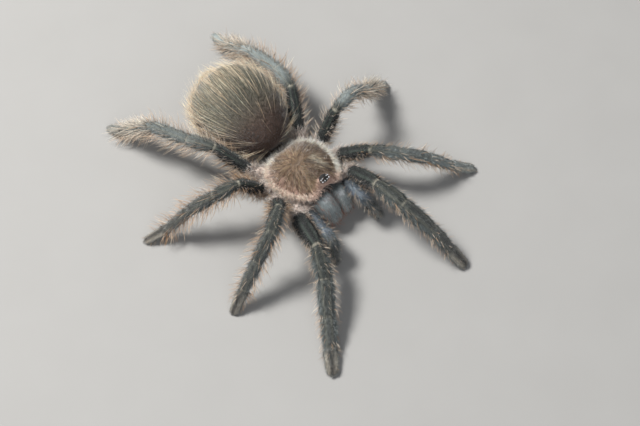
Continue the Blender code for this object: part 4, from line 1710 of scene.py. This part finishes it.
@dataclass(frozen=True)
class Jaw:
    """One chelicera with its fang: a swollen tube that bends down from under the shield, and a curved point.

    Attributes:
        side: left or right.
        start: the y and z of its root.
        length, slope, bend: of its middle line.
        half_widths, half_depth: of its thickest oval. The right jaw covers part of the left one.
        root_girth, full_run, taper: how it swells from the root and narrows to the fang.
        slit: half of the gap between the two jaws' flat inner sides.
        slit_left, swing: how far to the animal's left the gap lies, and how much further at the end.
        hidden: how far its root runs on under the shield's edge.
        root_shade: the share of its length at which the painted shade at its root, under the shield's edge,
            ends.
        coat: the depth of its coat.
        fang_out: the fang's distance from the middle plane.
        fang_length, fang_radius, fang_slope, fang_bend: of the fang.
    """

    side: Side
    start: Pair = (-8.0 * MM, 7.75 * MM)
    length: float = 6.6 * MM
    slope: float = -24.0
    bend: float = -68.0
    half_widths: dict[Side, float] = field(
        default_factory=lambda: {Side.LEFT: 2.1 * MM, Side.RIGHT: 2.8 * MM}
    )
    half_depth: float = 3.05 * MM
    root_girth: float = 0.92
    full_run: float = 1.4
    taper: float = 0.14
    slit: float = 0.14 * MM
    slit_left: float = 0.3 * MM
    swing: float = 0.5 * MM
    hidden: float = 2.2 * MM
    root_shade: dict[Side, float] = field(
        default_factory=lambda: {Side.LEFT: 0.32, Side.RIGHT: 0.23}
    )
    coat: float = 0.2 * MM
    rows: int = 46
    columns: int = 40
    fang_out: float = 2.3 * MM
    fang_length: float = 5.0 * MM
    fang_radius: float = 0.62 * MM
    fang_slope: float = -138.0
    fang_bend: float = -90.0

    def path(self, count: int) -> Array:
        """Its middle line, which also runs back under the shield's edge.

        Args:
            count: how many points it has.

        Returns:
            Its points and tangents.
        """
        turn = -self.bend / self.length * self.hidden
        lift = math.radians(self.slope + turn / 2)
        y = self.start[0] + self.hidden * math.cos(lift)
        z = self.start[1] - self.hidden * math.sin(lift)
        return arc((y, z), self.length + self.hidden, self.slope + turn, self.bend - turn, count)

    def shell(self, poise: Poise, cell: Cell) -> Shell:
        """Its skin: its girth swells in a half sine and sinks with the fourth power, and its ends are round.

        Args:
            poise: how the jaws are held.
            cell: its place on the atlas.

        Returns:
            The shell.
        """
        share = np.linspace(0, 1, self.rows)
        path = self.path(self.rows)
        swell = np.sin(np.pi * np.minimum(1, share * self.full_run))
        swelling = self.root_girth + (1 - self.root_girth) * swell
        girth = swelling * (1 - self.taper * share**4) * cap(share, 0.24, 0.92)
        half_width = (self.half_widths[self.side] - self.coat) * girth
        middle = self.side.value * (self.slit + half_width) + self.slit_left + self.swing * share
        half_depth = (self.half_depth - self.coat) * girth
        grid = arc_tube(path, middle[:, None], half_width, half_depth, self.columns, 0.8)
        first, last = row_middles(grid)
        made = Shell(poise.jaws(grid), (poise.jaws(first), poise.jaws(last)), cell)
        made.tint = self.paint(share[:, None], (np.arange(self.columns) / self.columns)[None])
        return made

    def paint(self, share: Array, turn: Array) -> Array:
        """Its colours: blue grey with pale streaks along it, darker and reddish at the foot, painted shade at
        the root and below, and painted highlights along its upper inner edge and near the root.

        Args:
            share: of its length, from the root.
            turn: the share of the way round from the upper side.

        Returns:
            Linear colours.
        """
        share, turn = np.broadcast_arrays(share, turn)
        streaks = 0.5 + 0.5 * np.sin(turn * math.tau * 9 + 1.5 * np.sin(share * 5))
        across = np.sin(turn * math.tau * 23 + 4 * np.sin(share * 9))
        speckle = 0.5 + 0.5 * across * np.sin(share * 31 + turn * 17)
        # painted highlight: a pale streak along the upper inner edge, by the gap between the jaws
        inner = bump((self.side.value * turn + 0.62) % 1, 0.5, 0.05)
        end = self.root_shade[self.side]
        # painted highlight: a white spot on the upper side by the gap, just past the painted shade of the
        # root
        painted_highlight = bump((self.side.value * turn + 0.5) % 1, 0.46, 0.06) * bump(share, end + 0.06, 0.05)
        return washed(
            Dye.JAW.linear,
            (Dye.JAW_PALE, 0.3 * streaks**2),
            (Dye.JAW_DARK, 0.35 * speckle**2),
            # the painted highlight along the upper inner edge
            (Dye.JAW_PALE, 0.5 * inner),
            # painted shade on its lower sides and underside
            (Dye.JAW_DARK, 0.7 * rise(off_top(turn), 0.2, 0.4)),
            # painted shade at its root, under the shield's edge
            (Dye.JAW_DARK, 0.85 * (1 - rise(share, end - 0.08, end))),
            # the painted highlight near the root
            (Dye.PEARL, 0.8 * painted_highlight),
            (Dye.RUST, 0.45 * rise(share, 0.8, 1.0)),
        )

    def grow(self, coat: Coat, shell: Shell) -> None:
        """Grows its velvet, some long bristles, and the brush round the fang.

        Args:
            coat: where the hairs go.
            shell: its skin.
        """
        rng = coat.rng
        share = np.linspace(0, 1, self.rows)[:, None]
        down = shell.roots(0.17 * MM, 1.0, rng)
        tint = self.paint(down.share, down.turn)
        velvet = Hair((0.6 * MM, 1.1 * MM), (18, 14), 6, 9, 0.1 * MM, 1, 0.38)
        coat.grow("coat_jaws", down, velvet, (tint * 0.75, tint * 1.45))
        few = shell.roots(0.55 * MM, 0.2 + 0.8 * rise(share, 0.6, 0.9), rng)
        bristle = Hair((0.9 * MM, 2.4 * MM), (40, 14), 12, 14, 0.075 * MM, 3)
        coat.grow("coat_jaws", few, bristle, (Dye.BRISTLE_ROOT.linear, Dye.RUST.linear * 1.6))

    def fang(self, poise: Poise, draft: Draft, cell: Cell) -> None:
        """Adds its fang: a curved spike from inside the jaw's end, thinning with the share to a sharp tip.

        Args:
            poise: how the jaws are held.
            draft: where its mesh goes.
            cell: its place on the atlas.
        """
        path = self.path(self.rows)
        root = path[-1, :2] - path[-1, 2:] * 0.5 * MM
        share = np.linspace(0, 1, 30)
        curve = arc((root[0], root[1]), self.fang_length, self.fang_slope, self.fang_bend, len(share))
        radius = self.fang_radius * (1 - share) ** 0.75 + 0.01 * MM
        middle = self.side.value * self.fang_out + self.swing
        grid = arc_tube(curve, middle, radius * 0.85, radius, 16)
        placed = poise.jaws(grid)
        draft.add_shell(Shell(placed, row_middles(placed), cell, np.zeros(3)))


@dataclass(frozen=True)
class EyeMound:
    """The mound on the head's front and its eight eyes.

    Attributes:
        y: of its middle.
        half_width, half_length, height: of the mound.
        seat_rise: how far its seat is lifted over the head's slope.
        fall: how far the outer eyes sit below the top, as a share of the height.
        eyes: for each eye of one side, how far out and forward it sits and its radius, in millimetres, and
        how pearly it is, which sets how strong the painted highlight on its top is.
    """

    y: float = -7.4 * MM
    half_width: float = 1.45 * MM
    half_length: float = 1.08 * MM
    height: float = 0.85 * MM
    seat_rise: float = 0.3 * MM
    fall: float = 0.35
    eyes: tuple[tuple[float, float, float, float], ...] = (
        (0.38, 0.45, 0.29, 0.5),
        (1.04, 0.38, 0.28, 0.9),
        (0.66, -0.36, 0.2, 1.0),
        (1.12, -0.28, 0.25, 0.9),
    )

    def seat(self, points: Array, shield: Shield, poise: Poise) -> Array:
        """Places points of the mound, given from its own middle, on the slope of the head.

        Args:
            points: with x to the left, y back and z up from the seat.
            shield: gives the slope and the height.
            poise: how the forepart is held.

        Returns:
            The placed points.
        """
        ys = np.array([self.y + self.half_length, self.y - self.half_length])
        shares = (shield.wide - ys) / (shield.wide - shield.front)
        heights = shield.height(np.zeros(2), ys, shares)
        slope = math.degrees(math.atan2(heights[0] - heights[1], 2 * self.half_length))
        seat = np.array([0, self.y, shield.base + heights.mean() + self.seat_rise])
        return poise.forepart(turned(points, 0.0, -slope) + seat)

    def shell(self, shield: Shield, poise: Poise, cell: Cell) -> Shell:
        """Its skin: a flattened dome that runs on below its seat into the head.

        Args:
            shield: what it sits on.
            poise: how the forepart is held.
            cell: its place on the atlas.

        Returns:
            The shell.
        """
        rise_angle = np.linspace(-0.5, math.pi / 2 - 0.04, 18)[:, None]
        angle = loop_angles(40)
        girth = np.cos(np.maximum(rise_angle, 0)) ** 0.75
        x = self.half_width * girth * np.sin(angle)
        y = self.half_length * girth * np.cos(angle)
        z = self.height * np.sin(rise_angle) * np.ones_like(x)
        grid = self.seat(np.stack([x, y, z], axis=-1), shield, poise)
        return Shell(grid, row_middles(grid), cell, Dye.MOUND.linear)

    def lenses(self, shield: Shield, poise: Poise, draft: Draft, cell: Cell) -> None:
        """Adds the eyes: eight balls that stand out of the mound by about half.

        Args:
            shield: gives the slope of the head.
            poise: how the forepart is held.
            draft: where their mesh goes.
            cell: their place on the atlas.
        """
        rise_angle = np.linspace(-math.pi / 2 + 0.15, math.pi / 2 - 0.15, 14)[:, None]
        angle = loop_angles(24)
        ball = np.stack(
            [
                np.cos(rise_angle) * np.sin(angle),
                np.cos(rise_angle) * np.cos(angle),
                np.sin(rise_angle) * np.ones_like(angle),
            ],
            axis=-1,
        )
        for index, (out, forward, radius, pearl) in enumerate(self.eyes):
            # painted highlight: the top of each lens is painted pale, as strong as the eye is pearly
            painted_highlight = pearl * rise(rise_angle, 0.75, 1.1) * np.ones_like(angle)
            tint = blend(Dye.LENS.linear, Dye.PEARL.linear, painted_highlight)
            for side in Side:
                strip = cell.strip(2 * index + (side is Side.RIGHT), 2 * len(self.eyes))
                x, y = side.value * out * MM, -forward * MM
                level = (x / self.half_width) ** 2 + (y / self.half_length) ** 2
                centre = np.array([x, y, self.height * (1 - self.fall * level)])
                grid = self.seat(ball * radius * MM + centre, shield, poise)
                draft.add_shell(Shell(grid, row_middles(grid), strip, tint))


@dataclass(frozen=True)
class Tail:
    """The waist and the two long spinnerets.

    Attributes:
        waist: the y of its front and back ends.
        waist_z, waist_radius: its height and girth.
        spinneret_x, spinneret_y, spinneret_z: the place of a spinneret's root.
        spinneret_length, spinneret_radius: of a spinneret.
        splay: how far it turns outwards for each length backwards.
    """

    waist: Pair = (5.4 * MM, 13.0 * MM)
    waist_z: float = 5.9 * MM
    waist_radius: float = 1.4 * MM
    spinneret_x: float = 1.5 * MM
    spinneret_y: float = 32.5 * MM
    spinneret_z: float = 5.0 * MM
    spinneret_length: float = 5.8 * MM
    spinneret_radius: float = 0.75 * MM
    splay: float = 0.25

    def waist_shell(self, poise: Poise, cell: Cell) -> Shell:
        """The waist: a level tube, a little thinner in its middle.

        Args:
            poise: where the body is.
            cell: its place on the atlas.

        Returns:
            The shell.
        """
        share = np.linspace(0, 1, 16)[:, None]
        angle = loop_angles(32)
        radius = self.waist_radius * (1 - 0.15 * np.sin(np.pi * share)) * cap(share, 0.05, 0.95)
        x = radius * np.sin(angle)
        z = self.waist_z + radius * np.cos(angle)
        y = mix(*self.waist, share) * np.ones_like(x)
        grid = poise.rear(np.stack([x, y, z], axis=-1))
        return Shell(grid, row_middles(grid), cell, Dye.BELLY.linear)

    def spinneret_shell(self, side: Side, poise: Poise, cell: Cell) -> Shell:
        """One spinneret: a tapered tube of three swollen joints, splayed outwards.

        Args:
            side: left or right.
            poise: where the body is.
            cell: its place on the atlas.

        Returns:
            The shell.
        """
        share = np.linspace(0, 1, 40)
        way = unit(np.array([side.value * self.splay, 1.0, 0.05]))
        root = np.array([side.value * self.spinneret_x, self.spinneret_y, self.spinneret_z])
        line = root + way * (share * self.spinneret_length)[:, None]
        across, upper = tube_frame(way[None])
        girth = (1 - 0.35 * share) * (1 - 0.08 * np.cos(share * math.tau * 3)) * cap(share, 0.05, 0.85)
        angle = loop_angles(24)[..., None]
        around = across[0] * np.sin(angle) + upper[0] * np.cos(angle)
        grid = poise.rear(line[:, None] + around * (self.spinneret_radius * girth)[:, None, None])
        return Shell(grid, row_middles(grid), cell, Dye.SPINNERET.linear)

    def grow_waist(self, coat: Coat, shell: Shell) -> None:
        """Grows the brown wool round the waist."""
        roots = shell.roots(0.24 * MM, 1.0, coat.rng)
        wool = Hair((1.6 * MM, 3.0 * MM), (70, 30), 14, 30, 0.13 * MM, 3, 0.35)
        coat.grow("coat_underside", roots, wool, (Dye.BELLY.linear, Dye.ABDOMEN.linear * 1.5))

    def grow(self, coat: Coat, shell: Shell) -> None:
        """Grows short hair on a spinneret."""
        roots = shell.roots(0.4 * MM, 1.0, coat.rng)
        hair = Hair((0.7 * MM, 1.4 * MM), (28, 12), 8, 12, 0.12 * MM, 2)
        coat.grow("coat_underside", roots, hair, (Dye.SPINNERET.linear, Dye.BRISTLE.linear))


# ------------------------------
# The studio


@dataclass(frozen=True)
class Studio:
    """A plain pale floor, one large soft light with a faint fill, and the camera.

    Attributes:
        target: the point on the floor that the camera looks at.
        azimuth, elevation: of the camera, in degrees.
        distance: from the target.
        lens: its focal length in millimetres, on a sensor 36 mm wide.
    """

    target: tuple[float, float, float] = (-0.68 * MM, -11.19 * MM, 0.0)
    azimuth: float = -43.32
    elevation: float = 61.34
    distance: float = 451.35 * MM
    lens: float = 102.13

    def build(self) -> None:
        """Sets everything up."""
        self._floor()
        self._light("key", (-0.22, 0.42, 0.72), 0.22, 11.0, (1.0, 0.985, 0.96))
        self._light("fill", (-0.3, -0.55, 0.55), 0.6, 1.6, (0.95, 0.97, 1.0))
        world = bpy.context.scene.world or bpy.data.worlds.new("studio")
        bpy.context.scene.world = world
        world.use_nodes = True
        background = world.node_tree.nodes["Background"]
        background.inputs["Color"].default_value = (0.92, 0.95, 1.0, 1.0)
        background.inputs["Strength"].default_value = 0.24
        bpy.context.scene.view_settings.view_transform = "Standard"
        self._camera()

    def _floor(self) -> None:
        """Lays the floor, which is not part of the animal."""
        mesh = bpy.data.meshes.new("floor")
        half = 1.5
        square = [(-half, -half, 0), (half, -half, 0), (half, half, 0), (-half, half, 0)]
        mesh.from_pydata(square, [], [(0, 1, 2, 3)])
        mesh.materials.append(FloorFinish("floor").material())
        floor = bpy.data.objects.new("floor", mesh)
        bpy.context.scene.collection.objects.link(floor)

    def _light(self, name: str, place: tuple, size: float, power: float, colour: tuple) -> None:
        """Adds a square area light that faces the animal.

        Args:
            name: its name.
            place: where it hangs.
            size: of its side.
            power: in watts.
            colour: of its light.
        """
        lamp = bpy.data.lights.new(name, "AREA")
        lamp.size = size
        lamp.energy = power
        lamp.color = colour
        made = bpy.data.objects.new(name, lamp)
        made.location = place
        made.rotation_euler = aim(np.array(place))
        bpy.context.scene.collection.objects.link(made)

    def _camera(self) -> None:
        """Adds the camera and makes it the scene's own."""
        turn, lift = math.radians(self.azimuth), math.radians(self.elevation)
        back = np.array([math.sin(turn) * math.cos(lift), -math.cos(turn) * math.cos(lift), math.sin(lift)])
        optics = bpy.data.cameras.new("camera")
        optics.sensor_width = 36.0
        optics.lens = self.lens
        optics.clip_start = 0.01
        camera = bpy.data.objects.new("camera", optics)
        camera.location = np.array(self.target) + back * self.distance
        camera.rotation_euler = aim(back)
        bpy.context.scene.collection.objects.link(camera)
        bpy.context.scene.camera = camera


def aim(back: Array) -> tuple[float, float, float]:
    """The turn of a camera or a light that looks against the given direction, with its top upwards."""
    lift = math.atan2(math.hypot(back[0], back[1]), back[2])
    return (lift, 0.0, math.atan2(back[0], -back[1]))


# ------------------------------
# The animal


@dataclass
class Tarantula:
    """Builds the whole animal on its frame.

    Attributes:
        seed: of the source of chance.
        hip_roots: for each pair of legs, how far out and back its coxa starts, in millimetres.
        palp_root: the same for the palps.
        hip_radius, palp_hip_radius: the girths of the coxae.
    """

    seed: int = 8
    hip_roots: dict[int, Pair] = field(
        default_factory=lambda: {1: (2.4, -2.6), 2: (3.0, -0.8), 3: (3.0, 1.6), 4: (2.4, 3.6)}
    )
    palp_root: Pair = (3.1, -2.8)
    hip_radius: float = 1.65 * MM
    palp_hip_radius: float = 1.15 * MM

    def __post_init__(self) -> None:
        """Finds the body's own origin, and starts the atlas, the skin and the coat."""
        low, high = (np.array(corner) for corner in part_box("abdomen"))
        origin = np.array([(low[0] + high[0]) / 2, low[1] - Abdomen.front, 0.0])
        self.poise = Poise(origin)
        self.atlas = Atlas()
        self.skin = Draft()
        self.coat = Coat(np.random.default_rng(self.seed))
        self.replaced: list[str] = []

    def _body(self) -> None:
        """Builds the forepart, the abdomen and the tail."""
        shield, underside, abdomen, tail = Shield(), Underside(), Abdomen(), Tail()
        top = shield.shell(self.poise, self.atlas.cell())
        self.skin.add_shell(top)
        shield.grow(self.coat, top, self.poise)
        below = underside.shell(shield, self.poise, self.atlas.cell())
        self.skin.add_shell(below)
        underside.grow(self.coat, below)
        egg = abdomen.shell(self.poise, self.atlas.cell())
        self.skin.add_shell(egg)
        abdomen.grow(self.coat, egg)
        waist = tail.waist_shell(self.poise, self.atlas.cell())
        self.skin.add_shell(waist)
        tail.grow_waist(self.coat, waist)
        for side in Side:
            shell = tail.spinneret_shell(side, self.poise, self.atlas.cell())
            self.skin.add_shell(shell)
            tail.grow(self.coat, shell)
        mound = EyeMound()
        self.skin.add_shell(mound.shell(shield, self.poise, self.atlas.cell()))
        lenses = Draft()
        mound.lenses(shield, self.poise, lenses, self.atlas.cell())
        self.finished(lenses, "eyes", EyeFinish("lens"), ["eye_tubercle"])
        self.replaced += ["carapace", "underside", "abdomen", "pedicel", "spinneret_left", "spinneret_right"]

    def _jaws(self) -> None:
        """Builds the jaws and the fangs."""
        fangs = Draft()
        for side in Side:
            jaw = Jaw(side)
            cell = self.atlas.cell()
            shell = jaw.shell(self.poise, cell)
            self.skin.add_shell(shell)
            jaw.grow(self.coat, shell)
            jaw.fang(self.poise, fangs, cell)
            self.replaced.append(f"chelicera_{side.word}")
        self.finished(fangs, "fangs", HornFinish("fang_horn"), ["fang_left", "fang_right"])

    def _hip(self, side: Side, place: Pair) -> Array:
        """Where a limb's coxa starts inside the body."""
        out, back = place
        return self.poise.origin + np.array([side.value * out, back, 0.0]) * MM

    def _limbs(self) -> None:
        """Builds the legs and the palps with their claws."""
        claws = Draft()
        for (side, pair), look in LEG_LOOKS.items():
            root = self._hip(side, self.hip_roots[pair])
            name = f"leg_{side.word}_{pair}"
            self._limb(Limb(name, LEG_SEGMENTS, root, self.hip_radius, self.atlas.cell(), look), claws)
        for side in Side:
            root = self._hip(side, self.palp_root)
            name = f"palp_{side.word}"
            cell = self.atlas.cell()
            palp = Limb(name, PALP_SEGMENTS, root, self.palp_hip_radius, cell, PALP_LOOK, claw_count=1)
            self._limb(palp, claws)
        self.finished(claws, "claws", HornFinish("claw_horn"), [])

    def _limb(self, limb: Limb, claws: Draft) -> None:
        """Builds one limb.

        Args:
            limb: the limb.
            claws: where its claws' mesh goes.
        """
        shell = limb.shell()
        self.skin.add_shell(shell)
        limb.grow(self.coat, shell)
        limb.claws(claws)
        self.replaced += limb.nodes()

    def finished(self, draft: Draft, name: str, finish: Finish, nodes: list[str]) -> None:
        """Makes a piece, gives it its material, and sets it on the frame.

        Args:
            draft: its mesh.
            name: its name.
            finish: what its material is made from.
            nodes: the frame's nodes that it stands for.
        """
        piece = draft.build(name)
        piece.data.materials.append(finish.material())
        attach(piece, BODY)
        if nodes:
            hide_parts(*nodes)
        LOG.info("%s: %d triangles", name, draft.triangles())

    def build(self) -> None:
        """Builds everything in order."""
        self._body()
        self._jaws()
        self._limbs()
        self.finished(self.skin, "skin", SkinFinish("cuticle"), self.replaced)
        hair = CoatFinish("hair")
        for name, draft in self.coat.drafts.items():
            self.finished(draft, name, hair, [])
        total = self.skin.triangles() + sum(draft.triangles() for draft in self.coat.drafts.values())
        LOG.info("skin and coat: %d triangles", total)


def main() -> None:
    """Builds the studio and the animal."""
    logging.basicConfig(level=logging.INFO, format="%(message)s")
    Studio().build()
    Tarantula().build()


if __name__ == "__main__":
    main()
